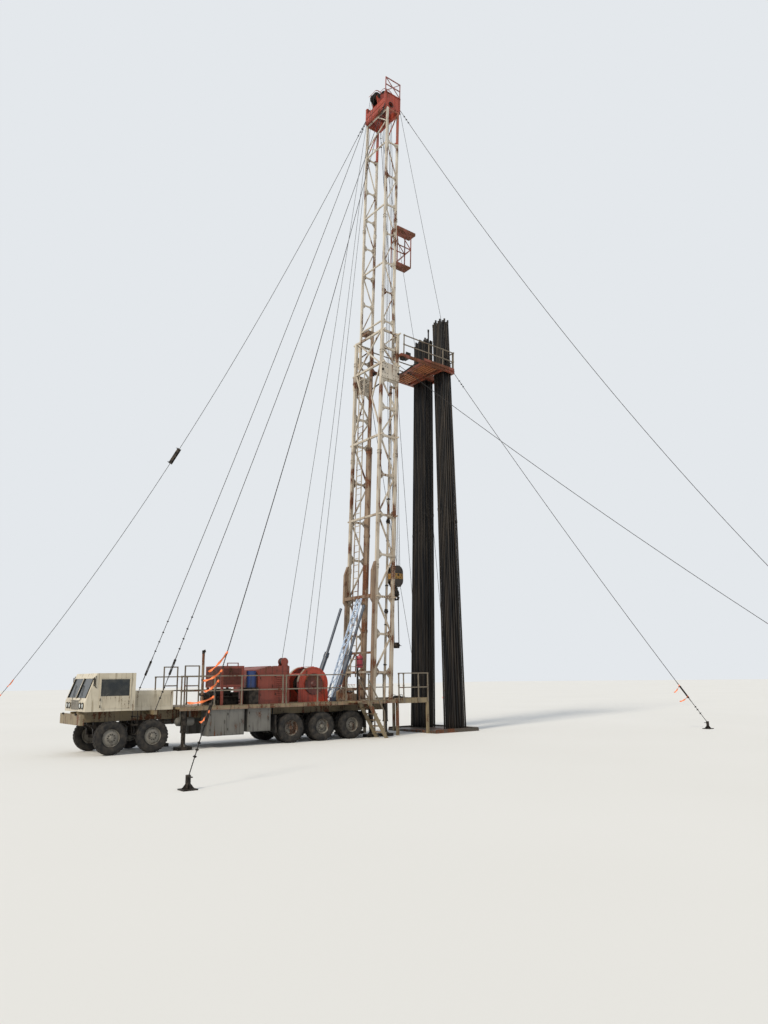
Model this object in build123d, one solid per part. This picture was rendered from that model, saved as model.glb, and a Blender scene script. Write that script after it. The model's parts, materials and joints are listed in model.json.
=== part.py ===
from build123d import *
from math import cos, hypot, radians, sin
import os

# Workover rig on its carrier: a two-section open-backed mast stands over the well, guyed to
# the ground. Millimetres, +X from the cab towards the well, +Z up, origin on the ground at the
# well centre.

# Mast: it leans over the well and its rear face is open for the block
MAST_LEAN = 2.6
MAST_FOOT_X = -1703
LOWER_HALF_X = 450
LOWER_HALF_Y = 1050
LOWER_LEG = 130
LOWER_TOP = 18350
LOWER_RINGS = (2600, 4200, 5800, 7640, 9430, 11280, 13130, 14490, 15850, 16650, 17450)
LOWER_FRONT_RINGS = (2600, 5800, 9430, 13130, 16650)
LUG_RINGS = (5800, 9430, 13130, 16650, LOWER_TOP)
KNEE_INNER_Y = 350
KNEE_LEVELS = (16650, 15100, 13600)
LUG_REACH = 170
STANDPIPE_X = 215
STANDPIPE_TOP = 15700
STANDPIPE_SIZE = 102
ACCESS_LADDER_Y = (-500, -250)
RAM_Y = 880
ACCESS_RUNGS = 12
LADDER_Y = (400, 800)
UPPER_HALF_X = 330
UPPER_HALF_Y = 865
UPPER_LEG = 100
UPPER_FOOT = 16900
UPPER_TOP = 30800
UPPER_RINGS = (18900, 20450, 22000, 23600, 25200, 26850, 28800)
UPPER_FRONT_RINGS = (18900, 22000, 25200, 28800)
RING_BAR = 90
LACING_BAR = 60
UPPER_BAR = 60
UPPER_LACING = 45
SHOE_SEATS = (17000, 17900)
SHOE_HEIGHT = 300

# Crown
CROWN_HALF_X = 485
CROWN_HALF_Y = 865
CROWN_HEIGHT = 950
CROWN_FRONT_HEIGHT = 600
CROWN_REAR_HEIGHT = 400
CROWN_EYE_RISE = 260
CROWN_GUY_RISE = 330
CROWN_WALL = 60
SHEAVE_X = -150
SHEAVE_R = 360
SHEAVE_WIDTH = 60
SHEAVE_PITCH = 120
SHEAVE_COUNT = 3
SHEAVE_SIDES = 12
GROOVE_DEPTH = 36
SHEAVE_SHAFT_R = 70
SHEAVE_RISE = 400
FAST_SHEAVE_R = 260
FAST_SHEAVE_BACK = 30
FAST_SHEAVE_RISE = 90
SIDE_SHEAVE_Y = 150
CHEEK_THICK = 50
CROWN_RAIL_HEIGHT = 870
RAIL_BAR = 42

# Rod basket
BASKET_FLOOR = 22200
BASKET_TRAY = 24250
BASKET_FLOOR_REACH = 900
BASKET_TRAY_REACH = 1150

# Travelling block, hook and links on the well's centre line
BLOCK_TOP = 7380
BLOCK_HEIGHT = 970
BLOCK_X = 580
BLOCK_Y = 420
LINE_SIZE = 26
LINE_X = 178
FALL_TOP = UPPER_TOP - 150
BLOCK_SLOT_DEPTH = 300
BLOCK_SLOT = 44
BLOCK_ARC_STEPS = 6
BLOCK_END_CUT = 30
SEAT_GAP = 0.3
LINK_PIN_Z = 6040
LINK_PIN_R = 30
LINK_EYE_R = 62
LINK_EYE_PLAY = 4
LINK_BAR = 46
LINK_REACH = 2250
ELEVATOR_HEIGHT = 260
ELEVATOR_R = 140
ELEVATOR_BORE = 50

# Carrier
DECK_TOP = 1470
DECK_THICK = 80
DECK_HALF_Y = 1300
DECK_FRONT = -10600
DECK_REAR = -1000
CHASSIS_HALF_Y = 430
CHASSIS_DEPTH = 340
CHASSIS_FRONT = -13800
TYRE_R = 550
TYRE_WIDTH = 270
RIM_R = 285
REAR_AXLES = (-6100, -4700, -3300)
FRONT_AXLES = (-12900, -11500)
TYRE_OUT_Y = 1135
TYRE_IN_Y = 815
RIM_WIDTH = 200
TYRE_SIDES = 16
RIM_SIDES = 8
RAIL_HEIGHT = 1070
HOOP_X = (-10330, -9800)
HOOP_Y = 1000
HOOP_HEIGHT = 1430
CAB_WINDOW_X = (-13300, -12350)
CAB_WINDOW_Z = (1900, 2450)
PUMP_TOP = 2080
HOUSING_TOP = 2860

# Drawworks
DRUM_X = -4670
DRUM_Z = 2160
DRUM_R = 260
DRUM_FLANGE_R = 400
DRUM_SHAFT_R = 75
DRUM_HALF_Y = 430
WINCH_X = -6290
WINCH_Y = -880
WINCH_R = 110

# Stair on the near side
STAIR_TOP_X = -3050
STAIR_STEPS = 6
STAIR_RUN = 148
STAIR_RISE = DECK_TOP / STAIR_STEPS
STAIR_GAP = 40
STAIR_WIDTH = 700
STAIR_Y = (-DECK_HALF_Y - STAIR_GAP - STAIR_WIDTH, -DECK_HALF_Y - STAIR_GAP)

# Work floor and setback
FLOOR_TOP = 1500
FLOOR_FRONT = DECK_REAR
FLOOR_REAR = 750
FLOOR_HALF_Y = 1250
FLOOR_POSTS = (-900, -640, 170, 700)
RAIL_FOOT = 160
WELL_HOLE = 320
TRAY_TOP = 100
TRAY_X = (FLOOR_REAR, 3250)
TRAY_HALF_Y = 1700

# Tubing board, square to the mast
BOARD_TOP = 17330
BOARD_DEPTH = 140
BOARD_HALF_Y = 1290
BOARD_INNER = 1900
BOARD_OUTER = 3850
BOARD_EDGE = 90
BOARD_RAIL = 1000
HANGER_INSET = 105
FINGER_INSET = 130
FINGER_BACK = 3100
WALKWAY_HALF = 180
STAND_SIZE = 73
STAND_ROWS = 9
STAND_ROWS_NEAR = 7
STAND_PER_ROW = 5
STAND_PITCH = 105
STAND_SPACING = 115
STAND_FOOT_X = 2350
STAND_FOOT_Y = 1120
STAND_FOOT_SPACING = 158
STAND_TOP_NEAR = 19930
STAND_TOP_FAR = 19350
STAND_LONG = 700
STAND_SPLAY = 1.1

# Guys and anchors
GUY_SIZE = 20
GUY_SPANS = 6
ANCHOR_X = 14230
ANCHOR_Y = 15630
FRONT_NEAR_Y = -10750
BOARD_ANCHOR = (10500, 8400)
ANCHOR_HALF = 170
ANCHOR_TOP = 320
UPPER_EYE_DROP = 60
LOWER_EYE_DROP = 160
REAR_GUY_SAG = 2000
FAR_GUY_SAG = 2300
NEAR_GUY_SAG = 650
LOAD_GUY_SAG = 450
RING_GUY_SAG = 450
BOARD_GUY_SAG = 250
GUY_BEAM_X = -11450
GUY_BEAM_Y = 1250
TENSIONER_AT = 0.5
TENSIONER_LENGTH = 900

MAST = Location((MAST_FOOT_X, 0, 0), (0, MAST_LEAN, 0))


# Shapes that everything is made from

def bar(start, end, width, depth=None):
    """Square or flat bar; depth is measured across the mast's side where the bar allows."""
    start, end = Vector(*start), Vector(*end)
    run = end - start
    along_y = abs(run.Y) > 0.9 * run.length
    across = Vector(0, 0, 1) if along_y else Vector(0, 1, 0)
    plane = Plane(origin=start, x_dir=across.cross(run), z_dir=run)
    return extrude(plane * Rectangle(width, depth or width), run.length)


def pole(start, end, size, sides=8):
    """Round member with few faces."""
    start, end = Vector(*start), Vector(*end)
    run = end - start
    along_y = abs(run.Y) > 0.9 * run.length
    across = Vector(0, 0, 1) if along_y else Vector(0, 1, 0)
    plane = Plane(origin=start, x_dir=across.cross(run), z_dir=run)
    section = RegularPolygon(size / 2, sides, major_radius=False, rotation=180 / sides)
    return extrude(plane * section, run.length)


def block(x, y, z):
    """Box between two limits along each axis."""
    size = (x[1] - x[0], y[1] - y[0], z[1] - z[0])
    centre = ((x[0] + x[1]) / 2, (y[0] + y[1]) / 2, (z[0] + z[1]) / 2)
    return Pos(*centre) * Box(*size)


def whole(result):
    """One solid, or a compound where there are several."""
    solids = list(result.solids())
    return solids[0] if len(solids) == 1 else Compound(solids)


def fused(pieces):
    """One solid from bars that cross."""
    pieces = list(pieces)
    return whole(pieces[0].fuse(*pieces[1:])) if len(pieces) > 1 else whole(pieces[0])


def cut(piece, *tools):
    """The piece without what the other pieces take up."""
    return whole(piece.cut(*tools))


def common(piece, tool):
    """The part of a piece that lies inside another shape."""
    return whole(piece.intersect(tool))


def group(pieces):
    """Solids that stay apart in one piece."""
    return Compound([solid for piece in pieces for solid in piece.solids()])


def mirrored(piece):
    """The same piece on the far side."""
    return piece.mirror(Plane.XZ)


def profile(points, y):
    """Plate cut to an outline in the XZ plane, between two Y limits."""
    outline = make_face(Polyline(*[(x, 0, z) for x, z in points], close=True))
    plate = extrude(outline, amount=y[1] - y[0], dir=(0, 1, 0))
    return Pos(0, y[0], 0) * plate


def wheel_disc(centre, radius, width, sides=16):
    """Disc with its axis along Y."""
    x, y, z = centre
    return pole((x, y - width / 2, z), (x, y + width / 2, z), 2 * radius, sides)


def round_pin(centre, radius, length):
    """True round pin with its axis along Y."""
    x, y, z = centre
    plane = Plane(origin=(x, y - length / 2, z), x_dir=(1, 0, 0), z_dir=(0, 1, 0))
    return extrude(plane * Circle(radius), length)


def on_mast(x, y, z):
    """Place of a point that is given along the leaning mast."""
    point = MAST * Pos(x, y, z)
    return tuple(point.position)


def taut_line(start, end, sag, size=GUY_SIZE):
    """Wire rope between two points, with the small sag that its weight gives it."""
    (x0, y0, z0), (x1, y1, z1) = start, end
    flat = hypot(x1 - x0, y1 - y0)
    rise = z1 - z0
    heading = Vector((x1 - x0) / flat, (y1 - y0) / flat, 0)
    plane = Plane(origin=start, x_dir=heading, z_dir=heading.cross(Vector(0, 0, 1)))
    upper, lower = [], []
    for step in range(GUY_SPANS + 1):
        t = step / GUY_SPANS
        slope = (rise - 4 * sag * (1 - 2 * t)) / flat
        length = hypot(1, slope)
        along, up = flat * t, rise * t - 4 * sag * t * (1 - t)
        side = size / 2 / length
        upper.append((along - slope * side, up + side))
        lower.append((along + slope * side, up - side))
    outline = plane * make_face(Polyline(*upper, *reversed(lower), close=True))
    return extrude(outline, amount=size / 2, both=True)


# Mast

def side_panel(half_x, y, leg, foot, top, rings, ring_bar, lacing):
    """Two legs and the ring members and lacing between them, on one side of the mast."""
    legs = [bar((x, y, foot), (x, y, top), leg) for x in (-half_x, half_x)]
    levels = list(rings) + [top - ring_bar / 2]
    members = [bar((-half_x, y, z), (half_x, y, z), ring_bar) for z in levels]
    ties = []
    for index, (low, high) in enumerate(zip(levels, levels[1:])):
        lean = half_x if index % 2 == 0 else -half_x
        ties.append(bar((-lean, y, low), (lean, y, high), lacing))
    return fused(legs + members + ties)


def front_bracing(half_x, inner_y, levels, ring_bar, ties, lacing):
    """Cross members of the mast's front and its few ties, cut to the legs' inner faces."""
    pieces = [bar((-half_x, -inner_y, z), (-half_x, inner_y, z), ring_bar) for z in levels]
    pieces += [bar((-half_x, *start), (-half_x, *end), lacing) for start, end in ties]
    between = block((-half_x - ring_bar, -half_x + ring_bar), (-inner_y, inner_y),
                    (levels[0] - ring_bar, levels[-1] + ring_bar / 2))
    return common(fused(pieces), between)


def corner_lugs(y, outward):
    """Bars that stick out at the ring corners, for guys and lifting gear."""
    start = y + outward * LOWER_LEG / 2
    pieces = []
    for z in LUG_RINGS:
        level = min(z, LOWER_TOP - RING_BAR / 2)
        for x in (-LOWER_HALF_X, LOWER_HALF_X):
            pieces.append(bar((x, start - outward * 20, level),
                              (x, start + outward * LUG_REACH, level), 60))
    return pieces


def lock_box(y, outward):
    """Plated box below the second ring, where the telescoped sections are pinned."""
    face = y + outward * (LOWER_LEG / 2)
    limits = sorted((face - outward * 30, face + outward * 45))
    reach = LOWER_HALF_X + LOWER_LEG / 2
    return block((-reach, reach), limits, (15900, 16650))


def mast_lower_side(outward):
    y = outward * LOWER_HALF_Y
    panel = side_panel(LOWER_HALF_X, y, LOWER_LEG, DECK_TOP - 200, LOWER_TOP, LOWER_RINGS,
                       RING_BAR, LACING_BAR)
    panel = fused([panel] + corner_lugs(y, outward) + [lock_box(y, outward)])
    below_deck = block((-4000, 2000), (-3000, 3000), (-2000, DECK_TOP))
    return cut(MAST * panel, below_deck)


def mast_lower_front():
    inner = LOWER_HALF_Y - LOWER_LEG / 2
    levels = LOWER_FRONT_RINGS + (LOWER_TOP - RING_BAR / 2,)
    reach = inner - RING_BAR / 2
    ties = [((-reach, levels[-2]), (reach, levels[-1])), ((reach, levels[-2]), (-reach, levels[-1]))]
    for side in (-1, 1):
        high, middle, low = KNEE_LEVELS
        ties += [((side * inner, high), (side * KNEE_INNER_Y, middle)),
                 ((side * KNEE_INNER_Y, middle), (side * inner, low))]
    return MAST * front_bracing(LOWER_HALF_X, inner, levels, RING_BAR, ties, LACING_BAR)


def mast_upper_side(outward):
    y = outward * UPPER_HALF_Y
    panel = side_panel(UPPER_HALF_X, y, UPPER_LEG, UPPER_FOOT, UPPER_TOP, UPPER_RINGS,
                       UPPER_BAR, UPPER_LACING)
    leg_face = UPPER_HALF_Y + UPPER_LEG / 2
    seat = LOWER_HALF_Y - LOWER_LEG / 2 - SEAT_GAP
    limits = sorted((outward * (leg_face - 20), outward * seat))
    shoes = [block((x - 45, x + 45), limits, (z, z + SHOE_HEIGHT))
             for z in SHOE_SEATS for x in (-UPPER_HALF_X, UPPER_HALF_X)]
    return MAST * fused([panel] + shoes)


def mast_upper_front():
    inner = UPPER_HALF_Y - UPPER_LEG / 2
    levels = UPPER_FRONT_RINGS + (UPPER_TOP - UPPER_BAR / 2,)
    low, high = levels[-2], levels[-1]
    reach = inner - UPPER_BAR / 2
    turns = [(0, low), (reach, low + (high - low) * 0.3), (-reach, low + (high - low) * 0.65), (0, high)]
    return MAST * front_bracing(UPPER_HALF_X, inner, levels, UPPER_BAR, list(zip(turns, turns[1:])),
                                UPPER_LACING)


def mast_base():
    """Fixed stand in front of the mast's foot: two plated posts and the beams between them."""
    back = -LOWER_HALF_X - LOWER_LEG / 2
    half = LOWER_LEG / 2
    wide, narrow = 200, 90
    post = profile([(back, 900), (back, 7300), (back - 60, 7300), (back - wide, 6900),
                    (back - wide, 5650), (back - narrow, 5500), (back - narrow, 900)],
                   (-LOWER_HALF_Y - half, -LOWER_HALF_Y + half))
    beams = [bar((back - wide / 2, -LOWER_HALF_Y, 5800), (back - wide / 2, LOWER_HALF_Y, 5800), 160, 140)]
    beams += [bar((back - narrow / 2, -LOWER_HALF_Y, z), (back - narrow / 2, LOWER_HALF_Y, z), narrow)
              for z in (1900, 3400)]
    stand = fused([post, mirrored(post)] + beams)
    below_deck = block((-4000, 2000), (-3000, 3000), (-2000, DECK_TOP))
    return cut(MAST * stand, below_deck)


def raising_cylinders():
    """Two hydraulic rams from the deck up to the mast stand."""
    pieces = []
    for y in (-RAM_Y, RAM_Y):
        foot = (-3950, y, DECK_TOP)
        barrel_top = (-3130, y, 3450)
        rod_top = (-2405, y, 5395)
        clevis = block((-4070, -3830), (y - 110, y + 110), (DECK_TOP, DECK_TOP + 160))
        ram = fused([clevis, pole(foot, barrel_top, 190), pole(barrel_top, rod_top, 110)])
        pieces.append(cut(ram, block((-5000, 0), (-2000, 2000), (0, DECK_TOP))))
    return group(pieces)


def scoping_ram():
    """Ram that lifted the upper section, standing inside the mast."""
    barrel = pole((0, 380, 900), (0, 380, 12950), 260)
    rod = pole((0, 380, 12950), (0, 380, 18800), 150)
    head = block((-UPPER_HALF_X + 30, 110), (300, UPPER_HALF_Y - 50), (18700, 18860))
    below_deck = block((-4000, 2000), (-3000, 3000), (-2000, DECK_TOP))
    return cut(MAST * fused([barrel, rod, head]), below_deck)


def standpipe():
    """Pipe up the near side between the lower section's legs, with a short elbow at its head."""
    y = -LOWER_HALF_Y + LOWER_LEG
    riser = pole((STANDPIPE_X, y, 900), (STANDPIPE_X, y, STANDPIPE_TOP), STANDPIPE_SIZE)
    elbow = pole((STANDPIPE_X - 40, y, STANDPIPE_TOP - 60), (STANDPIPE_X + 260, y, STANDPIPE_TOP - 60),
                 STANDPIPE_SIZE)
    below_deck = block((-4000, 2000), (-3000, 3000), (-2000, DECK_TOP))
    return cut(MAST * fused([riser, elbow]), below_deck)


def access_ladder():
    """Sloping ladder from the deck to the stand's upper beam, beside the near raising ram."""
    (x0, z0), (x1, z1) = (-3900, DECK_TOP), (-2290, 5720)
    run, rise = x1 - x0, z1 - z0
    rails = [bar((x0, y, z0), (x1, y, z1), 60, 40) for y in ACCESS_LADDER_Y]
    rungs = []
    for step in range(1, ACCESS_RUNGS + 1):
        t = step / (ACCESS_RUNGS + 1)
        x, z = x0 + run * t, z0 + rise * t
        rungs.append(bar((x, ACCESS_LADDER_Y[0], z), (x, ACCESS_LADDER_Y[1], z), 28))
    below_deck = block((-5000, 2000), (-3000, 3000), (-2000, DECK_TOP))
    return cut(fused(rails + rungs), below_deck)


def mast_ladder():
    """Climbing ladder inside the lower section, held to the front cross members."""
    x = -LOWER_HALF_X + RING_BAR / 2 + 20
    y0, y1 = LADDER_Y
    rails = [bar((x, y, 2400), (x, y, 16800), 40) for y in LADDER_Y]
    rungs = [bar((x, y0, 2550 + 600 * step), (x, y1, 2550 + 600 * step), 30) for step in range(24)]
    return MAST * fused(rails + rungs)


# Crown

def crown_x():
    """Where the mast's axis is at the crown, from the well centre."""
    return MAST_FOOT_X + sin(radians(MAST_LEAN)) * (UPPER_TOP + CROWN_HEIGHT)


def crown_shafts():
    """Centres of the main shaft and of the line sheaves' shaft in front, along the mast."""
    high = UPPER_TOP + CROWN_HEIGHT
    main = (SHEAVE_X - crown_x(), high + SHEAVE_RISE)
    front = (-CROWN_HALF_X + FAST_SHEAVE_BACK, high + FAST_SHEAVE_RISE)
    return main, front


def crown_frame():
    """Box-beam frame on the upper legs, with plates that carry the sheave shafts."""
    low, high = UPPER_TOP, UPPER_TOP + CROWN_HEIGHT
    hx, hy, wall = CROWN_HALF_X, CROWN_HALF_Y, CROWN_WALL
    (main_x, main_z), (front_x, front_z) = crown_shafts()
    sides = [block((-hx, hx), sorted((s * hy, s * (hy - 2 * wall))), (low, high))
             for s in (-1, 1)]
    front_beam = block((-hx, -hx + 2 * wall), (-hy, hy), (low, low + CROWN_FRONT_HEIGHT))
    rear_beam = block((hx - 2 * wall, hx), (-hy, hy), (low, low + CROWN_REAR_HEIGHT))
    outline = [(-hx, low), (-hx, low + CROWN_FRONT_HEIGHT), (front_x - 130, front_z - 60),
               (front_x - 60, front_z + 100), (front_x + 80, front_z + 100),
               (main_x - 150, main_z + 150), (main_x + 150, main_z + 150),
               (hx, low + CROWN_REAR_HEIGHT), (hx, low)]
    cheeks = [profile(outline, (y - CHEEK_THICK / 2, y + CHEEK_THICK / 2))
              for y in (-cheek_y(), cheek_y())]
    frame = fused(sides + [front_beam, rear_beam] + cheeks)
    eye = wheel_disc((-120, -hy, low + CROWN_EYE_RISE), 110, 300, 12)
    shafts = [wheel_disc((x, 0, z), SHEAVE_SHAFT_R, 2 * hy) for x, z in crown_shafts()]
    line_ways = [block((LINE_X - BLOCK_SLOT, LINE_X + 2 * BLOCK_SLOT), (y - BLOCK_SLOT, y + BLOCK_SLOT),
                       (FALL_TOP, FALL_TOP + 2 * CROWN_HEIGHT)) for y in sheave_planes()]
    return cut(MAST * cut(frame, eye, *shafts), *line_ways)


def sheave_planes():
    """Middle of each main sheave across the mast."""
    return [(index - (SHEAVE_COUNT - 1) / 2) * SHEAVE_PITCH for index in range(SHEAVE_COUNT)]


def cheek_y():
    """Middle of each plate beside the main sheaves."""
    return SHEAVE_PITCH * SHEAVE_COUNT / 2 + 35


def sheave(x, y, z, radius, width):
    """Wheel with a groove whose two walls slope down to the middle."""
    halves = []
    for side in (-1, 1):
        plane = Plane(origin=(x, y + side * width / 2, z), x_dir=(1, 0, 0), z_dir=(0, -side, 0))
        middle = Plane(origin=(x, y, z), x_dir=(1, 0, 0), z_dir=(0, -side, 0))
        rim, root = [made * RegularPolygon(size, SHEAVE_SIDES, rotation=180 / SHEAVE_SIDES)
                     for made, size in ((plane, radius), (middle, radius - GROOVE_DEPTH))]
        halves.append(loft([rim, root], ruled=True))
    return halves


def crown_sheaves():
    """Main sheaves on one shaft with the heads of the falls, and three line sheaves in front."""
    (main_x, main_z), (front_x, front_z) = crown_shafts()
    span = 2 * cheek_y() + CHEEK_THICK + 30
    main = [wheel_disc((main_x, 0, main_z), SHEAVE_SHAFT_R, span)]
    for y in sheave_planes():
        main += sheave(main_x, y, main_z, SHEAVE_R, SHEAVE_WIDTH)
    shaft_z = on_mast(main_x, 0, main_z)[2]
    heads = []
    for y in sheave_planes():
        for x, high in ((-LINE_X, shaft_z - SHEAVE_R + SHEAVE_WIDTH), (LINE_X, shaft_z)):
            heads.append(bar((x, y, FALL_TOP + SEAT_GAP), (x, y, high), LINE_SIZE))
    front = [wheel_disc((front_x, 0, front_z), SHEAVE_SHAFT_R, span)]
    for y in (-SIDE_SHEAVE_Y, 0, SIDE_SHEAVE_Y):
        front += sheave(front_x, y, front_z, FAST_SHEAVE_R, SHEAVE_WIDTH)
    return group([fused([MAST * fused(main)] + heads), MAST * fused(front)])


def crown_rail():
    """Guard rail on the crown's near edge, braced with a cross."""
    low = UPPER_TOP + CROWN_HEIGHT
    high = low + CROWN_RAIL_HEIGHT
    hx, y = CROWN_HALF_X - 30, -CROWN_HALF_Y + 30
    pieces = [bar((x, y, low), (x, y, high), RAIL_BAR) for x in (-hx, hx)]
    pieces += [bar((-hx, y, z), (hx, y, z), RAIL_BAR) for z in (high - RAIL_BAR / 2, (low + high) / 2)]
    pieces += [bar((-side * hx, y, low + 20), (side * hx, y, high - 20), 30) for side in (-1, 1)]
    rail = fused(pieces)
    return MAST * cut(rail, block((-hx * 2, hx * 2), (y * 2, 0), (low - 100, low)))


def rod_basket():
    """Small standing platform under a rod tray, on the mast's near rear leg."""
    x0 = UPPER_HALF_X + UPPER_LEG / 2
    y0, y1 = -950, -420
    low, high = BASKET_FLOOR, BASKET_TRAY
    tray_x, floor_x = x0 + BASKET_TRAY_REACH, x0 + BASKET_FLOOR_REACH
    pieces = [block((x0 + 20, tray_x), (y0, y1), (high - 150, high)),
              block((x0 + 20, floor_x), (y0, y1), (low, low + 60))]
    posts = [(x, y) for x in (x0 + 40, floor_x - 20) for y in (y0 + 20, y1 - 20)]
    pieces += [bar((x, y, low), (x, y, high - 100), 40) for x, y in posts]
    middle = (low + high) / 2
    for y in (y0 + 20, y1 - 20):
        pieces.append(bar((x0 + 40, y, middle), (floor_x - 20, y, middle), 40))
        pieces.append(bar((x0 + 40, y, low + 30), (floor_x - 20, y, middle), 30))
        pieces.append(bar((x0 + 40, y, high - 120), (floor_x - 20, y, middle), 30))
    pieces.append(bar((floor_x - 20, y0, middle), (floor_x - 20, y1, middle), 40))
    arms = [block((x0, x0 + 40), (-UPPER_HALF_Y - 30, -UPPER_HALF_Y + 30), (z - 60, z))
            for z in (low + 60, high)]
    return MAST * fused(pieces + arms)


# Tubing board

def board_arms():
    """Two arms from the mast's rear legs to the board, either side of the block's way."""
    inner = LOWER_HALF_X + LOWER_LEG / 2
    arm = block((inner, BOARD_INNER), (-BOARD_HALF_Y, -BOARD_HALF_Y + BOARD_EDGE),
                (BOARD_TOP - BOARD_DEPTH, BOARD_TOP))
    seat = block((inner, inner + 120), (-BOARD_HALF_Y, -LOWER_HALF_Y), (BOARD_TOP - BOARD_DEPTH, BOARD_TOP))
    arm = fused([arm, seat])
    return MAST * group([arm, mirrored(arm)])


def board_frame():
    """Edge beams, the platform that the man stands on and the walkway between the fingers."""
    low, high = BOARD_TOP - BOARD_DEPTH, BOARD_TOP
    hy = BOARD_HALF_Y
    pieces = [block((BOARD_INNER, BOARD_OUTER), sorted((s * hy, s * (hy - BOARD_EDGE))), (low, high))
              for s in (-1, 1)]
    for x in (BOARD_INNER, FINGER_BACK - BOARD_EDGE, BOARD_OUTER - BOARD_EDGE):
        pieces.append(block((x, x + BOARD_EDGE), (-hy, hy), (low, high)))
    pieces.append(block((BOARD_INNER, FINGER_BACK), (-hy, hy), (high - 50, high)))
    pieces.append(block((BOARD_INNER, BOARD_OUTER), (-WALKWAY_HALF, WALKWAY_HALF), (high - 50, high)))
    return MAST * fused(pieces)


def finger_rows():
    """Middle lines of the finger bars on one side of the board."""
    first = FINGER_INSET - BOARD_HALF_Y
    return [first + STAND_PITCH * step for step in range(STAND_ROWS + 1)]


def board_fingers():
    """Finger bars that the racked stands lean between."""
    back = FINGER_BACK + 60
    front = BOARD_OUTER - BOARD_EDGE
    low, high = BOARD_TOP - 90, BOARD_TOP - 60
    pieces = []
    for side in (-1, 1):
        root = block((FINGER_BACK, back),
                     sorted((side * WALKWAY_HALF, side * (BOARD_HALF_Y - BOARD_EDGE))),
                     (BOARD_TOP - BOARD_DEPTH, BOARD_TOP - 50))
        bars = [block((back - 10, front), (-side * y - 12, -side * y + 12), (low, high))
                for y in finger_rows()]
        pieces.append(fused([root] + bars))
    return MAST * group(pieces)


def board_rails():
    """Two-bar rails on the board's near, far and outer edges, each a run of its own."""
    x0, x1 = LOWER_HALF_X + LOWER_LEG / 2 + 180, BOARD_OUTER - 40
    y = BOARD_HALF_Y - BOARD_EDGE / 2
    gap = RAIL_BAR + 20
    near = [(x, -y) for x in (x0, x0 + (x1 - x0) * 0.49, x0 + (x1 - x0) * 0.78, x1)]
    outer = [(x1, -y + gap), (x1, 0), (x1, y - gap)]
    side = rail_run(near, BOARD_TOP, BOARD_RAIL)
    return MAST * group([side, mirrored(side), rail_run(outer, BOARD_TOP, BOARD_RAIL)])


def stands(side, top):
    """Racked tubing doubles: their feet spread on the tray, their tops between the fingers."""
    pieces = []
    rows = STAND_ROWS_NEAR if side < 0 else STAND_ROWS
    gaps = [y + STAND_PITCH / 2 for y in finger_rows()[:rows]]
    middle_y = sum(gaps) / rows
    first_x = BOARD_OUTER - BOARD_EDGE - 50 - STAND_SPACING * (STAND_PER_ROW - 1)
    for row, y in enumerate(gaps):
        for place in range(STAND_PER_ROW):
            uneven = ((row * 5 + place * 3) % 7) * 40
            if side > 0 and (row, place) == (rows - 1, 2):
                uneven = STAND_LONG
            hang_x, _, hang_z = on_mast(first_x + place * STAND_SPACING, 0, BOARD_TOP - 75)
            foot_x = STAND_FOOT_X + (place - (STAND_PER_ROW - 1) / 2) * STAND_FOOT_SPACING
            foot_y = (y - middle_y) * STAND_SPLAY - STAND_FOOT_Y
            lift = hang_z - TRAY_TOP
            lean = Vector(hang_x - foot_x, -side * (y - foot_y), lift)
            height = top + uneven - 200 - TRAY_TOP
            foot = Pos(foot_x, -side * foot_y, TRAY_TOP)
            section = foot * RegularPolygon(STAND_SIZE / 2, 6)
            pieces.append(extrude(section, amount=height * lean.length / lift,
                                  dir=tuple(lean.normalized())))
    return group(pieces)


def setback_tray():
    return block(TRAY_X, (-TRAY_HALF_Y, TRAY_HALF_Y), (0, TRAY_TOP))


# Block, hook and lines

def travelling_block():
    """Slab-sided block with rounded ends round its sheaves."""
    hx, height = BLOCK_X / 2, BLOCK_HEIGHT
    low, high = BLOCK_TOP - height, BLOCK_TOP
    outline = []
    for middle, start in ((high - hx, 0), (low + hx, 180)):
        for step in range(BLOCK_ARC_STEPS + 1):
            turn = radians(start + 180 * step / BLOCK_ARC_STEPS)
            outline.append((hx * cos(turn), middle + hx * sin(turn)))
    body = profile(outline, (-BLOCK_Y / 2, BLOCK_Y / 2))
    level_ends = block((-hx * 2, hx * 2), (-BLOCK_Y, BLOCK_Y), (low + BLOCK_END_CUT, high - BLOCK_END_CUT))
    seats = block((-hx * 0.5, hx * 0.5), (-BLOCK_Y / 2, BLOCK_Y / 2), (low, high))
    body = fused([common(body, level_ends), seats])
    reach = LINE_X + BLOCK_SLOT / 2
    slots = [block((-reach, reach), (y - BLOCK_SLOT / 2, y + BLOCK_SLOT / 2),
                   (high - BLOCK_SLOT_DEPTH, high + 10))
             for y in sheave_planes()]
    pin = wheel_disc((0, 0, low + height * 0.55), 60, BLOCK_Y + 60, 12)
    return fused([cut(body, *slots), pin])


def hook():
    """Swivelling hook body with an ear each side for the links."""
    low = BLOCK_TOP - BLOCK_HEIGHT
    top = low - SEAT_GAP
    stem = Pos(0, 0, top - 90) * Cylinder(60, 180)
    body = profile([(-110, top - 420), (-140, top - 250), (-90, top - 150), (90, top - 150),
                    (140, top - 250), (110, top - 420), (0, top - 480)], (-85, 85))
    horn = profile([(-60, LINK_PIN_Z - 260), (140, LINK_PIN_Z - 230),
                    (190, LINK_PIN_Z - 90), (120, LINK_PIN_Z - 60), (110, LINK_PIN_Z - 160),
                    (0, LINK_PIN_Z - 180), (-60, top - 420), (-110, top - 420)], (-50, 50))
    ears = round_pin((0, 0, LINK_PIN_Z), LINK_PIN_R, 2 * 230)
    neck = block((-70, 70), (-70, 70), (LINK_PIN_Z - 80, top - 400))
    return fused([stem, body, horn, ears, neck])


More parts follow.
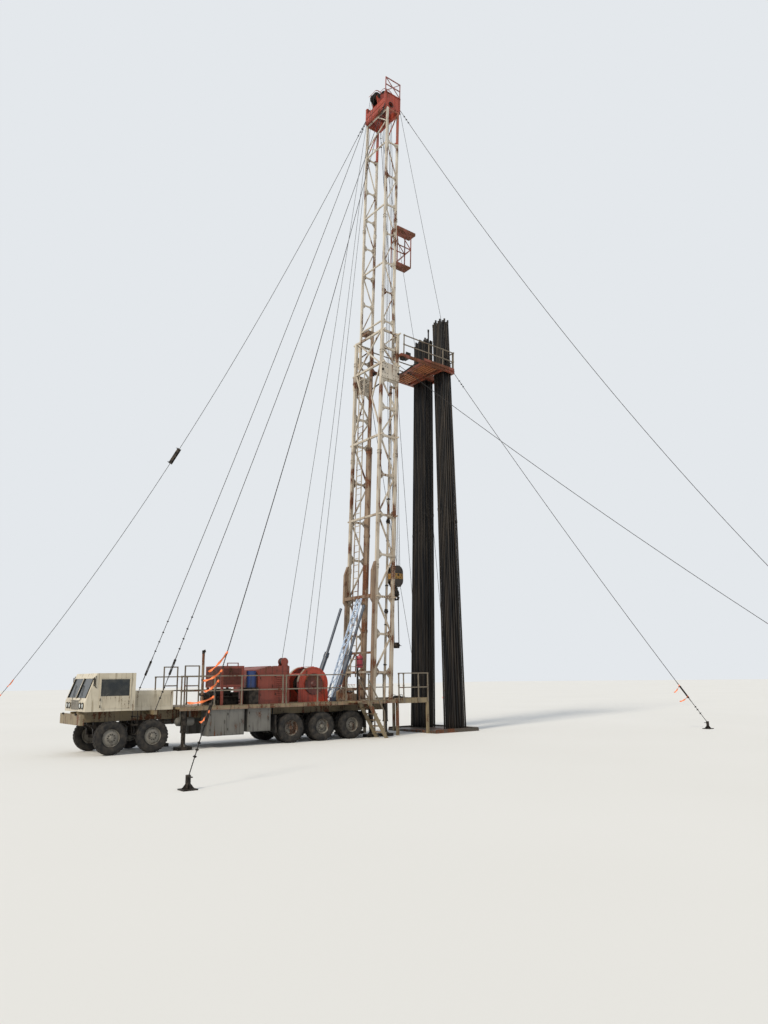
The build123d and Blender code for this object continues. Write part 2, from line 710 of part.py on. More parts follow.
def link_eyes():
    """Heights of the two eyes' centres: each link hangs by its upper eye and carries the lower."""
    hang = LINK_EYE_PLAY - SEAT_GAP
    upper = LINK_PIN_Z - hang
    return upper, upper - LINK_REACH


def elevator_links():
    """Two long links from the hook's ears down to the elevator's ears."""
    link_y = 175
    upper, lower = link_eyes()
    link = fused([wheel_disc((0, link_y, z), LINK_EYE_R, LINK_BAR, 12) for z in (upper, lower)]
                 + [bar((0, link_y, lower), (0, link_y, upper), LINK_BAR)])
    eyes = [wheel_disc((0, link_y, z), LINK_PIN_R + LINK_EYE_PLAY, 2 * LINK_BAR, 12)
            for z in (upper, lower)]
    link = cut(link, *eyes)
    return group([link, mirrored(link)])


def elevator():
    """Ring that closes under a pipe's collar, hung by its ears in the links."""
    ear_z = link_eyes()[1] - (LINK_EYE_PLAY - SEAT_GAP)
    low, high = ear_z - ELEVATOR_HEIGHT / 2, ear_z + ELEVATOR_HEIGHT / 2
    ring = pole((0, 0, low), (0, 0, high), 2 * ELEVATOR_R, 12)
    ears = wheel_disc((0, 0, ear_z), LINK_PIN_R, 2 * 215, 12)
    bore = pole((0, 0, low - 10), (0, 0, high + 10), 2 * ELEVATOR_BORE, 12)
    return cut(fused([ring, ears]), bore)


def drill_lines():
    """Falls of wire rope between the crown sheaves and the block."""
    foot = BLOCK_TOP - BLOCK_SLOT_DEPTH + SEAT_GAP
    pieces = [bar((x, y, foot), (x, y, FALL_TOP), LINE_SIZE)
              for x in (-LINE_X, LINE_X) for y in sheave_planes()]
    return group(pieces)


def drum_lines():
    """Fast line and sand line from the crown to the drum, and the winch's line beside them."""
    _, (front_x, front_z) = crown_shafts()
    tops = [on_mast(front_x - FAST_SHEAVE_R + 15, y, front_z)
            for y in (0, -SIDE_SHEAVE_Y, SIDE_SHEAVE_Y)]
    feet = [(DRUM_X - DRUM_R - 5, 0, DRUM_Z + 40),
            (DRUM_X + 60, -SIDE_SHEAVE_Y, DRUM_Z + DRUM_R - 10),
            (WINCH_X - WINCH_R * 0.5, WINCH_Y, winch_z() + WINCH_R * 0.7)]
    return [taut_line(top, foot, sag, size) for top, foot, sag, size
            in zip(tops, feet, (120, 150, 200), (GUY_SIZE, 14, 14))]


# Guys and ground anchors

def anchor_places():
    """Ground anchors: rear near, rear far, front far, front near, and the board's two."""
    return {"rear_near": (ANCHOR_X, -ANCHOR_Y), "rear_far": (ANCHOR_X, ANCHOR_Y),
            "front_far": (-ANCHOR_X, ANCHOR_Y), "front_near": (-ANCHOR_X, FRONT_NEAR_Y),
            "board_near": (BOARD_ANCHOR[0], -BOARD_ANCHOR[1]), "board_far": BOARD_ANCHOR}


def ground_anchors():
    """Short steel posts, each on its base plate, with an eye plate for the shackles."""
    pieces = []
    for x, y in anchor_places().values():
        plate = block((x - ANCHOR_HALF, x + ANCHOR_HALF), (y - ANCHOR_HALF, y + ANCHOR_HALF),
                      (0, 30))
        post = pole((x, y, 0), (x, y, ANCHOR_TOP), 110)
        pieces.append(fused([plate, post]))
    return group(pieces)


def crown_corner(side_x, side_y):
    """Point just inside the crown frame's corner, where a guy is shackled."""
    return on_mast(side_x * (CROWN_HALF_X - 40), side_y * (CROWN_HALF_Y - 40),
                   UPPER_TOP + CROWN_GUY_RISE)


def anchor_point(name, drop=UPPER_EYE_DROP):
    x, y = anchor_places()[name]
    return (x, y, ANCHOR_TOP - drop)


def crown_guys():
    return [taut_line(crown_corner(1, -1), anchor_point("rear_near"), REAR_GUY_SAG),
            taut_line(crown_corner(1, 1), anchor_point("rear_far"), REAR_GUY_SAG),
            taut_line(crown_corner(-1, 1), anchor_point("front_far"), FAR_GUY_SAG),
            taut_line(crown_corner(-1, -1), anchor_point("front_near"), NEAR_GUY_SAG)]


def load_guys():
    """Guys from the crown's front corners down to the beam across the carrier's front."""
    return [taut_line(crown_corner(-1, side),
                      (GUY_BEAM_X, side * (GUY_BEAM_Y - 50), DECK_TOP - DECK_THICK - 20), LOAD_GUY_SAG)
            for side in (-1, 1)]


def floor_guys():
    """Guys from the second ring and from the board's outer corners back to the ground."""
    pieces = []
    for side, rear, board in ((-1, "rear_near", "board_near"), (1, "rear_far", "board_far")):
        ring = on_mast(LOWER_HALF_X, side * (LOWER_HALF_Y + LOWER_LEG / 2 + LUG_REACH - 30),
                       16650)
        pieces.append(taut_line(ring, anchor_point(rear, LOWER_EYE_DROP), RING_GUY_SAG))
        corner = on_mast(BOARD_OUTER - 30, side * (BOARD_HALF_Y - 30), BOARD_TOP - 70)
        pieces.append(taut_line(corner, anchor_point(board), BOARD_GUY_SAG))
    return pieces


def board_hangers():
    """Lines that hold the board's outer corners up to the crown."""
    return [taut_line(on_mast(CROWN_HALF_X - 20, side * (CROWN_HALF_Y - 60),
                              UPPER_TOP + CROWN_GUY_RISE + 60),
                      on_mast(BOARD_OUTER - 80, side * (BOARD_HALF_Y - HANGER_INSET), BOARD_TOP - 20),
                      120, 14) for side in (-1, 1)]


def guy_tensioner():
    """Ratchet tensioner clamped on the far front guy."""
    x0, y0, z0 = crown_corner(-1, 1)
    x1, y1, z1 = anchor_point("front_far")
    t = TENSIONER_AT
    drop = 4 * FAR_GUY_SAG * t * (1 - t)
    middle = Vector(x0 + (x1 - x0) * t, y0 + (y1 - y0) * t, z0 + (z1 - z0) * t - drop)
    run = Vector(x1 - x0, y1 - y0, z1 - z0 - 4 * FAR_GUY_SAG * (1 - 2 * t)).normalized()
    half = run * (TENSIONER_LENGTH / 2)
    return bar(tuple(middle - half), tuple(middle + half), 150, 110)


# Carrier

def carrier_frame():
    """Two chassis rails with cross members and the front bumper."""
    high = DECK_TOP - DECK_THICK
    low = high - CHASSIS_DEPTH
    rails = [block((CHASSIS_FRONT, DECK_REAR - 100),
                   sorted((s * CHASSIS_HALF_Y, s * (CHASSIS_HALF_Y - 110))), (low, high))
             for s in (-1, 1)]
    crosses = [block((x - 60, x + 60), (-CHASSIS_HALF_Y, CHASSIS_HALF_Y), (low + 60, high - 40))
               for x in range(-13000, -1000, 1700)]
    bumper = block((CHASSIS_FRONT - 120, CHASSIS_FRONT), (-1200, 1200), (low - 60, high - 60))
    guy_beam = block((GUY_BEAM_X - 60, GUY_BEAM_X + 60), (-GUY_BEAM_Y, GUY_BEAM_Y), (high - 140, high))
    return fused(rails + crosses + [bumper, guy_beam])


def deck():
    """Deck plate with a folded edge each side."""
    plate = block((DECK_FRONT, DECK_REAR), (-DECK_HALF_Y, DECK_HALF_Y),
                  (DECK_TOP - DECK_THICK, DECK_TOP))
    return plate


def rail_run(points, low, height):
    """Tubular rail with posts, a top bar and a middle bar along a list of plan points."""
    high = low + height
    pieces = [bar((x, y, low), (x, y, high), RAIL_BAR) for x, y in points]
    for (xa, ya), (xb, yb) in zip(points, points[1:]):
        for z in (high - RAIL_BAR / 2, low + height / 2):
            pieces.append(bar((xa, ya, z), (xb, yb, z), RAIL_BAR))
    return fused(pieces)


def deck_rails():
    """Rails along both edges of the deck, in three lengths with doubled posts where they meet."""
    y = -DECK_HALF_Y + 40
    near = [rail_run([(-10550, y), (-9300, y), (-8230, y), (-6500, y)], DECK_TOP, RAIL_HEIGHT),
            rail_run([(-6350, y), (-4950, y), (-3600, y)], DECK_TOP, RAIL_HEIGHT)]
    hoop = rail_run([(x, -HOOP_Y) for x in HOOP_X], DECK_TOP, HOOP_HEIGHT)
    near.append(hoop)
    return group(near + [mirrored(rail) for rail in near])


def cab():
    """Low one-man cab and engine cowl at the carrier's front."""
    low = DECK_TOP - DECK_THICK
    body = profile([(-13780, low + 20), (-13780, 1750), (-13450, 2650), (-12150, 2650),
                    (-12150, low + 20)], (-1180, 1180))
    cowl = block((-12150, -10700), (-900, 900), (low, 2050))
    window = block(CAB_WINDOW_X, (-1300, 1300), CAB_WINDOW_Z)
    inside = block((-13330, -12300), (-1100, 1100), (low + 150, 2560))
    windscreen = block((-14500, -13250), (-1050, 1050), (1850, 2480))
    return cut(fused([body, cowl]), window, inside, windscreen)


def cab_glass():
    x = (CAB_WINDOW_X[0] + SEAT_GAP, CAB_WINDOW_X[1] - SEAT_GAP)
    z = (CAB_WINDOW_Z[0] + SEAT_GAP, CAB_WINDOW_Z[1] - SEAT_GAP)
    return group([block(x, sorted((side * 1170, side * 1155)), z) for side in (-1, 1)])


def radiator_housing():
    """Box on legs behind the cab, open below, with a handle hoop on top."""
    x0, x1, y0, y1 = -8930, -8010, -1000, 350
    box = block((x0, x1), (y0, y1), (2100, 2880))
    legs = [block((x - 40, x + 40), (y - 40, y + 40), (DECK_TOP, 2100))
            for x in (x0 + 60, x1 - 60) for y in (y0 + 60, y1 - 60)]
    hoop = [bar((x1 - 500, -600, 2880), (x1 - 500, -600, 3000), 30),
            bar((x1 - 60, -600, 2880), (x1 - 60, -600, 3000), 30),
            bar((x1 - 515, -600, 2990), (x1 - 45, -600, 2990), 30)]
    return fused([box] + legs + hoop)


def engine_housing():
    """Tall housing beside the drawworks, its front top corner sloped."""
    x0, x1, hy = -7440, -6100, 1050
    return profile([(x0, DECK_TOP), (x0, HOUSING_TOP - 120), (x0 + 420, HOUSING_TOP),
                    (x1, HOUSING_TOP), (x1, DECK_TOP)], (-hy, hy))


def winch_z():
    """Height of the small winch's shaft, on the engine housing's roof."""
    return HOUSING_TOP + WINCH_R + 60


def utility_winch():
    """Small hydraulic winch on the engine housing's roof, between its two side plates."""
    drum = wheel_disc((WINCH_X, WINCH_Y, winch_z()), WINCH_R, 260, 12)
    flanges = [wheel_disc((WINCH_X, WINCH_Y + side * 120, winch_z()), WINCH_R + 45, 20, 12)
               for side in (-1, 1)]
    plates = [profile([(WINCH_X - 150, HOUSING_TOP), (WINCH_X - 60, winch_z() + 60),
                       (WINCH_X + 60, winch_z() + 60), (WINCH_X + 150, HOUSING_TOP)],
                      sorted((WINCH_Y + side * 130, WINCH_Y + side * 145))) for side in (-1, 1)]
    foot = block((WINCH_X - 150, WINCH_X + 150), (WINCH_Y - 145, WINCH_Y + 145),
                 (HOUSING_TOP, HOUSING_TOP + 12))
    return fused([drum, foot] + flanges + plates)


def drawworks_guard():
    """Arched guard over the drum, with the side frames that carry its shaft."""
    radius = 690
    width = 1000
    arches = []
    outer, inner = [], []
    for step in range(9):
        angle = radians(-10 + 200 * step / 8)
        outer.append((DRUM_X + radius * cos(angle), DRUM_Z + radius * sin(angle)))
        inner.append((DRUM_X + (radius - 40) * cos(angle), DRUM_Z + (radius - 40) * sin(angle)))
    for y in (-width / 2, width / 2 - 160):
        arches.append(profile(outer + inner[::-1], (y, y + 160)))
    frames = [profile([(DRUM_X + radius, DECK_TOP)] + outer + [(DRUM_X - radius, DECK_TOP)],
                      (y, y + 60))
              for y in (-width / 2, width / 2 - 60)]
    shaft = wheel_disc((DRUM_X, 0, DRUM_Z), DRUM_SHAFT_R + SEAT_GAP, 2 * width)
    return cut(fused(arches + frames), shaft)


def drawworks_drum():
    """Drum with its two flanges and shaft, wound with rope."""
    pieces = [wheel_disc((DRUM_X, 0, DRUM_Z), DRUM_R, 2 * DRUM_HALF_Y - 20),
              wheel_disc((DRUM_X, 0, DRUM_Z), DRUM_SHAFT_R, 1100)]
    for side in (-1, 1):
        y = side * (DRUM_HALF_Y - 20)
        pieces.append(wheel_disc((DRUM_X, y, DRUM_Z), DRUM_FLANGE_R, 40))
    return fused(pieces)


def barrel():
    """Small oil drum standing between the two housings."""
    x, y, low = -7660, -880, PUMP_TOP
    body = pole((x, y, low), (x, y, low + 600), 350, 12)
    hoops = [pole((x, y, low + z), (x, y, low + z + 20), 368, 12) for z in (0, 290, 580)]
    return fused([body] + hoops)


def pump_unit():
    """Engine under the radiator housing, and the tank beside it that the oil drum stands on."""
    engine = fused([block((-9150, -7980), (-520, 230), (DECK_TOP, 1920)),
                    block((-8950, -8200), (-300, 200), (1920, 2060)),
                    pole((-9150, -140, 1700), (-9290, -140, 1700), 300, 12)])
    tank = block((-7860, -7460), (-1120, -560), (DECK_TOP, PUMP_TOP))
    return group([engine, tank])


def control_box():
    """Driller's control cabinet and valve bank at the deck's rear."""
    cabinet = block((-3900, -3600), (-1200, -1000), (DECK_TOP, 1950))
    bank = block((-2750, -2450), (-400, 500), (DECK_TOP, 1900))
    return group([cabinet, bank])


def exhaust_stack():
    stack = pole((-9680, -1050, DECK_TOP), (-9680, -1050, 3370), 90)
    muffler = pole((-6000, 300, DECK_TOP), (-6000, 300, 2900), 180)
    return group([stack, muffler])


def underdeck_boxes():
    """Tool boxes and tanks that hang under the deck."""
    high = DECK_TOP - DECK_THICK
    near = block((-9500, -8100), (-DECK_HALF_Y + 40, -620), (420, high))
    tank = block((-7950, -7000), (-DECK_HALF_Y + 60, -620), (500, high))
    return group([near, tank, mirrored(near), mirrored(tank)])


def wheel_places():
    """Centre of each tyre: pairs on the rear axles, singles in front."""
    rear = [(x, s * y) for x in REAR_AXLES for s in (-1, 1) for y in (TYRE_OUT_Y, TYRE_IN_Y)]
    front = [(x, s * TYRE_OUT_Y) for x in FRONT_AXLES for s in (-1, 1)]
    return rear, front


def tyres():
    pieces = []
    rear, front = wheel_places()
    for x, y in rear + front:
        tread = wheel_disc((x, y, TYRE_R), TYRE_R, TYRE_WIDTH, TYRE_SIDES)
        hole = wheel_disc((x, y, TYRE_R), RIM_R, 2 * TYRE_WIDTH, RIM_SIDES)
        pieces.append(cut(tread, hole))
    return group(pieces)


def wheel_rims():
    """Rims with the hub drum inboard; a rear pair sits on one long barrel."""
    pieces = []
    pair_middle = (TYRE_OUT_Y + TYRE_IN_Y) / 2
    pair_width = TYRE_OUT_Y - TYRE_IN_Y + RIM_WIDTH
    for side in (-1, 1):
        for x in REAR_AXLES:
            pieces.append(wheel_disc((x, side * pair_middle, TYRE_R), RIM_R, pair_width, RIM_SIDES))
        for x in FRONT_AXLES:
            pieces.append(wheel_disc((x, side * TYRE_OUT_Y, TYRE_R), RIM_R, RIM_WIDTH, RIM_SIDES))
    return group(pieces)


def axles():
    """Axle beams between the rims, and the springs that carry the frame on them."""
    low = DECK_TOP - DECK_THICK - CHASSIS_DEPTH
    pieces = []
    inner_rear = TYRE_IN_Y - RIM_WIDTH / 2
    inner_front = TYRE_OUT_Y - RIM_WIDTH / 2
    for x in REAR_AXLES + FRONT_AXLES:
        reach = inner_rear if x in REAR_AXLES else inner_front
        beam = bar((x, -reach, TYRE_R), (x, reach, TYRE_R), 150)
        springs = [block((x - 350, x + 350), sorted((s * 400, s * 330)), (TYRE_R + 60, low))
                   for s in (-1, 1)]
        pieces.append(fused([beam] + springs))
    return group(pieces)


def levelling_jacks():
    """Four screw jacks on pads that take the carrier's weight at work."""
    high = DECK_TOP - DECK_THICK
    pieces = []
    for x in (-1500, -2250, -10350):
        for side in (-1, 1):
            y = side * 1080
            pad = block((x - 260, x + 260), (y - 210, y + 210), (0, 120))
            leg = pole((x, y, 120), (x, y, high), 140)
            tube = pole((x, y, 620), (x, y, high), 200)
            pieces.append(fused([pad, leg, tube]))
    return group(pieces)


def work_floor():
    """Low steel floor round the well, on its own legs, with the well's hole through it."""
    plate = block((FLOOR_FRONT, FLOOR_REAR), (-FLOOR_HALF_Y, FLOOR_HALF_Y),
                  (FLOOR_TOP - 60, FLOOR_TOP))
    beams = [block((FLOOR_FRONT, FLOOR_REAR), (y - 40, y + 40), (FLOOR_TOP - 200, FLOOR_TOP - 60))
             for y in (-FLOOR_HALF_Y + 40, -400, 400, FLOOR_HALF_Y - 40)]
    legs = [block((x - 50, x + 50), (y - 50, y + 50), (0, FLOOR_TOP - 60))
            for x in (FLOOR_FRONT + 50, FLOOR_REAR - 50)
            for y in (-FLOOR_HALF_Y + 50, FLOOR_HALF_Y - 50)]
    hole = block((-WELL_HOLE / 2, WELL_HOLE / 2), (-WELL_HOLE / 2, WELL_HOLE / 2), (0, 3000))
    return cut(fused([plate] + beams + legs), hole)


def floor_rails():
    """Rails on the work floor's near and far edges, their posts on the floor's side faces."""
    y = -FLOOR_HALF_Y - RAIL_BAR / 2
    low = FLOOR_TOP - RAIL_FOOT
    near = rail_run([(x, y) for x in FLOOR_POSTS], low, RAIL_HEIGHT + RAIL_FOOT)
    return group([near, mirrored(near)])


def stringer_z(x):
    """Height of the stringer's middle line at a place along the flight."""
    return DECK_TOP - (x - STAIR_TOP_X) * STAIR_RISE / STAIR_RUN


def stairs():
    """Steep stair with open treads, hung on the deck's near edge by its landing."""
    y0, y1 = STAIR_Y
    pieces = []
    for index in range(STAIR_STEPS):
        x = STAIR_TOP_X + STAIR_RUN * index
        z = DECK_TOP - STAIR_RISE * index - 5
        pieces.append(block((x, x + 170), (y0 + 30, y1 - 30), (z - 40, z)))
    ends = (STAIR_TOP_X - 0.4 * STAIR_RUN, STAIR_TOP_X + STAIR_RUN * (STAIR_STEPS + 0.3))
    for y in (y0 + 20, y1 - 20):
        pieces.append(bar((ends[0], y, stringer_z(ends[0])), (ends[1], y, stringer_z(ends[1])),
                          150, 40))
    pieces.append(block((STAIR_TOP_X - 500, STAIR_TOP_X + 40), (y0, -DECK_HALF_Y),
                        (DECK_TOP - 50, DECK_TOP)))
    below = block((-5000, 0), (-3000, -1000), (-2000, 0))
    above = block((-5000, 0), (-3000, -1000), (DECK_TOP, 3000))
    return cut(fused(pieces), below, above)


def stair_rails():
    """Tubular handrails that stand on the stair's stringers."""
    pieces = []
    for y in (STAIR_Y[0] + 20, STAIR_Y[1] - 20):
        posts = [bar((x, y, stringer_z(x)), (x, y, stringer_z(x) + 900), RAIL_BAR)
                 for x in (STAIR_TOP_X + 40, STAIR_TOP_X + STAIR_RUN * (STAIR_STEPS - 0.6))]
        ends = (STAIR_TOP_X + 20, STAIR_TOP_X + STAIR_RUN * (STAIR_STEPS - 0.5))
        top = bar((ends[0], y, stringer_z(ends[0]) + 890), (ends[1], y, stringer_z(ends[1]) + 890),
                  RAIL_BAR)
        pieces.append(fused(posts + [top]))
    return group(pieces)


def build():
    """Every piece of the rig by its name, cut where one seats in another."""
    near, far = -1, 1
    parts = {
        "mast_lower_near": mast_lower_side(near),
        "mast_lower_far": mast_lower_side(far),
        "mast_lower_front": mast_lower_front(),
        "mast_upper_near": mast_upper_side(near),
        "mast_upper_far": mast_upper_side(far),
        "mast_upper_front": mast_upper_front(),
        "mast_base": mast_base(),
        "raising_cylinders": raising_cylinders(),
        "scoping_ram": scoping_ram(),
        "standpipe": standpipe(),
        "access_ladder": access_ladder(),
        "mast_ladder": mast_ladder(),
        "crown_frame": crown_frame(),
        "crown_sheaves": crown_sheaves(),
        "crown_rail": crown_rail(),
        "rod_basket": rod_basket(),
        "board_arms": board_arms(),
        "board_frame": board_frame(),
        "board_fingers": board_fingers(),
        "board_rails": board_rails(),
        "stands_near": stands(near, STAND_TOP_NEAR),
        "stands_far": stands(far, STAND_TOP_FAR),
        "setback_tray": setback_tray(),
        "travelling_block": travelling_block(),
        "hook": hook(),
        "elevator_links": elevator_links(),
        "elevator": elevator(),
        "drill_lines": drill_lines(),
        "ground_anchors": ground_anchors(),
        "guy_tensioner": guy_tensioner(),
        "carrier_frame": carrier_frame(),
        "deck": deck(),
        "deck_rails": deck_rails(),
        "cab": cab(),
        "cab_glass": cab_glass(),
        "radiator_housing": radiator_housing(),
        "engine_housing": engine_housing(),
        "drawworks_guard": drawworks_guard(),
        "drawworks_drum": drawworks_drum(),
        "utility_winch": utility_winch(),
        "barrel": barrel(),
        "pump_unit": pump_unit(),
        "control_box": control_box(),
        "exhaust_stack": exhaust_stack(),
        "underdeck_boxes": underdeck_boxes(),
        "tyres": tyres(),
        "wheel_rims": wheel_rims(),
        "axles": axles(),
        "levelling_jacks": levelling_jacks(),
        "work_floor": work_floor(),
        "floor_rails": floor_rails(),
        "stairs": stairs(),
    }
    parts["stair_rails"] = cut(stair_rails(), parts["stairs"])
    crown, anchors = parts["crown_frame"], parts["ground_anchors"]
    tensioner = parts["guy_tensioner"]
    parts["crown_guys"] = group(cut(line, crown, anchors, tensioner) for line in crown_guys())
    parts["load_guys"] = group(cut(line, crown, parts["carrier_frame"]) for line in load_guys())
    ring_lugs = (parts["mast_lower_near"], parts["mast_lower_far"])
    parts["floor_guys"] = group(cut(line, *ring_lugs, parts["board_frame"], anchors)
                                for line in floor_guys())
    parts["board_hangers"] = group(cut(line, crown, parts["board_frame"])
                                   for line in board_hangers())
    reels = (parts["crown_sheaves"], crown, parts["drawworks_drum"], parts["utility_winch"])
    parts["drum_lines"] = group(cut(line, *reels) for line in drum_lines())
    return parts


os.makedirs("parts", exist_ok=True)
for name, piece in build().items():
    export_step(piece, "parts/" + name + ".step")
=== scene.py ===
"""Workover rig: finishes, ropes, pipe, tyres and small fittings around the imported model."""
import json
from itertools import product
from math import atan, cos, pi, radians, sin

import bmesh
import bpy
from mathutils import Matrix, Vector


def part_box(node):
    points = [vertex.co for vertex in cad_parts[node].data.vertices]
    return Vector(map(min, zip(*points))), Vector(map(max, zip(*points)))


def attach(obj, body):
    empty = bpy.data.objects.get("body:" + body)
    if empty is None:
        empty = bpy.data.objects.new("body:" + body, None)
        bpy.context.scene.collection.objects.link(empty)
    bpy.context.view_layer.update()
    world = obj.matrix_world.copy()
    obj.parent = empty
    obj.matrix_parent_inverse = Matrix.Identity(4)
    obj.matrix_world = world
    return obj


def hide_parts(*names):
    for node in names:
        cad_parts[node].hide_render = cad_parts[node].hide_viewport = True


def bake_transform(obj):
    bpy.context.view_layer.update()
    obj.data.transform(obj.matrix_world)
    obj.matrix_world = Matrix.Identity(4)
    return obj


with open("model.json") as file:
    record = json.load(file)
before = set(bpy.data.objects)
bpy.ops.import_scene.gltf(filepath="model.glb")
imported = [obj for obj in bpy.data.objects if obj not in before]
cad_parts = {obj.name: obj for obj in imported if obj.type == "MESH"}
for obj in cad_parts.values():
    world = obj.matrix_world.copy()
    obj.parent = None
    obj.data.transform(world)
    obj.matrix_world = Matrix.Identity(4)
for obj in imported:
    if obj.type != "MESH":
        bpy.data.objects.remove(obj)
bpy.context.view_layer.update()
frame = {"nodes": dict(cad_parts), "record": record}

bl_info = {
    "name": "Workover Rig",
    "version": (1, 0, 0),
    "blender": (4, 5, 0),
    "location": "View3D > Sidebar > Rig",
    "description": "Dresses the workover rig with finishes, ropes, pipe, tyres and fittings",
    "category": "Object",
}

# The mast's own frame: it leans over the well
MAST_LEAN = 2.6
MAST_FOOT_X = -1.703
MAST = Matrix.Translation((MAST_FOOT_X, 0, 0)) @ Matrix.Rotation(radians(MAST_LEAN), 4, "Y")
LEG_X = 0.45
# Places of the legs, and half their width, on each section
LOWER_LEGS = (LEG_X, 1.05, 0.065)
UPPER_LEGS = (0.33, 0.865, 0.05)
SPLICES = ((7.0, LOWER_LEGS), (12.2, LOWER_LEGS), (17.1, LOWER_LEGS), (24.4, UPPER_LEGS))
LOWER_RINGS = (2.6, 4.2, 5.8, 7.64, 9.43, 11.28, 13.13, 14.49, 15.85, 16.65, 17.45)
UPPER_RINGS = (18.9, 20.45, 22.0, 23.6, 25.2, 26.85, 28.8)
CROWN_FOOT = 30.8
CROWN_TOP = 31.75
MAIN_SHAFT = (0.113, 32.15)
FRONT_SHAFT = (-0.455, 31.84)
MAIN_R, FRONT_R = 0.36, 0.26
STANDPIPE = (0.215, -0.92)
SHEAVE_YS = (-0.12, 0.0, 0.12)
LINE_SHEAVE_YS = (-0.15, 0.0, 0.15)

# Board and racked pipe
BOARD_TOP = 17.33
BOARD_DEPTH = 0.14
BOARD_HALF_Y = 1.29
BOARD_INNER, BOARD_OUTER, BOARD_EDGE = 1.9, 3.85, 0.09
FINGER_BACK = 3.1
STAND_PITCH, STAND_SPACING, PER_ROW = 0.105, 0.115, 5
FIRST_GAP = -1.1075
FOOT_X, FOOT_Y, FOOT_SPACING, SPLAY = 2.35, 1.12, 0.158, 1.1
TRAY_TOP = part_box("setback_tray")[1][2]

# Tackle
LINE_X = 0.178
FALL_TOP, FALL_FOOT = 30.65, 7.08
BLOCK_LOW, BLOCK_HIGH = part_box("travelling_block")[0][2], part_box("travelling_block")[1][2]
BLOCK_R, BLOCK_HALF_Y = 0.29, 0.21
LINK_EYES = (6.0363, 3.7863)
LINK_Y = 0.175
ELEVATOR_Z = 3.7826

# Feet of the guys: the ground anchors, the heights of their eyes, and the beam on the carrier
ANCHOR_X, ANCHOR_Y, FRONT_NEAR_Y = 14.23, 15.63, 10.75
BOARD_ANCHOR = (10.5, 8.4)
EYE_Z, LOW_EYE_Z = 0.26, 0.16
GUY_BEAM = (-11.45, 1.2, 1.37)

# Carrier
DECK_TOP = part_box("deck")[1][2]
DECK_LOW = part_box("deck")[0][2]
DECK_HALF_Y = 1.3
DECK_FRONT, DECK_REAR = -10.6, -1.0
HOUSING_LOW, HOUSING_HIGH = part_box("engine_housing")
COOLER_LOW, COOLER_HIGH = (-8.93, -1.0, 2.1), (-8.01, 0.35, 2.88)
DRUM = (-4.67, 0.0, 2.16)
DRUM_R, DRUM_HALF_Y, GUARD_R = 0.26, 0.39, 0.69
TYRE_R, TYRE_WIDTH, RIM_R = 0.55, 0.27, 0.285
REAR_AXLES, FRONT_AXLES = (-6.1, -4.7, -3.3), (-12.9, -11.5)
TYRE_OUT_Y, TYRE_IN_Y = 1.135, 0.815
FLOOR_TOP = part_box("work_floor")[1][2]
WINCH = (-6.29, -0.88, 3.03)
EXHAUST, MUFFLER = (-9.68, -1.05), (-6.0, 0.3)
OIL_DRUM, BOTTLE = (-7.66, -0.88, 2.08), (-2.76, -1.05, 2.78)
CAB_SIDE, CAB_NOSE = 1.18, -13.78
CABINET, VALVE_BANK = ((-3.9, -1.2), (-3.6, -1.0)), ((-2.75, -0.4), (-2.45, 0.5))
TANK, TANK_R = (-10.2, 0.8, 0.95), 0.15
JACK_XS, JACK_Y = (-1.5, -2.25, -10.35), 1.08

# The photograph's frame and the camera that took it
PHOTO_HEIGHT = 1024
PHOTO_FOCAL = 769.0
PHOTO_HORIZON = 678.2
PHOTO_ROLL = 0.85
CAMERA_PLACE = (-21.45, -27.68, 2.35)
CAMERA_HEADING = (0.602, 0.799)
FILM_HEIGHT = 36.0

# Near side and far side, or left and right
SIDES = (-1, 1)
RUST = "#7b4a2c"

FINISHES = {}
TREES = {}


def linear(text):
    """Linear RGBA of an sRGB hex colour."""
    parts = [int(text[i:i + 2], 16) / 255 for i in (1, 3, 5)]
    return tuple(v / 12.92 if v <= 0.04045 else ((v + 0.055) / 1.055) ** 2.4 for v in parts) + (1.0,)


def fill(tree, node, sockets):
    """Fills or links a node's inputs by name or number."""
    for key, value in sockets.items():
        if isinstance(value, bpy.types.Node):
            value = value.outputs[0]
        if isinstance(value, bpy.types.NodeSocket):
            tree.links.new(value, node.inputs[key])
        else:
            node.inputs[key].default_value = value
    return node


def add(tree, kind, sockets=None, **settings):
    """Adds a node with its settings and its inputs."""
    made = tree.nodes.new(kind)
    for key, value in settings.items():
        setattr(made, key, value)
    return fill(tree, made, sockets or {})


# Sizes and colours that a user would change

def paint_choice(label, text, about):
    """A colour that shows in the panel, given as sRGB hex."""
    return bpy.props.FloatVectorProperty(name=label, description=about, subtype="COLOR", size=4,
                                         min=0.0, max=1.0, default=linear(text))


def length_choice(label, value, about):
    """A length in metres that shows in the panel."""
    return bpy.props.FloatProperty(name=label, description=about, default=value, min=0.0005,
                                   subtype="DISTANCE", unit="LENGTH")


class RigPaints(bpy.types.PropertyGroup):
    """Paints of the rig's main groups."""
    mast: paint_choice("Mast", "#c9c1b2", "Chalked enamel on both mast sections")
    crown: paint_choice("Crown", "#a0402c", "Faded red enamel on the crown frame")
    board: paint_choice("Board", "#82432f", "Rusting orange enamel on the tubing board")
    housing: paint_choice("Housing", "#7d3829", "Red enamel on the engine housing")
    guard: paint_choice("Guard", "#b0432c", "Orange-red enamel on the drum guard")
    cab: paint_choice("Cab", "#c9c0ab", "Cream enamel on the cab")
    deck: paint_choice("Deck", "#85765a", "Trodden paint on the deck plate")
    barrel: paint_choice("Oil drum", "#20386b", "Blue enamel on the oil drum")
    tape: paint_choice("Flag tape", "#e8632a", "Fluorescent tape tied on the guys")


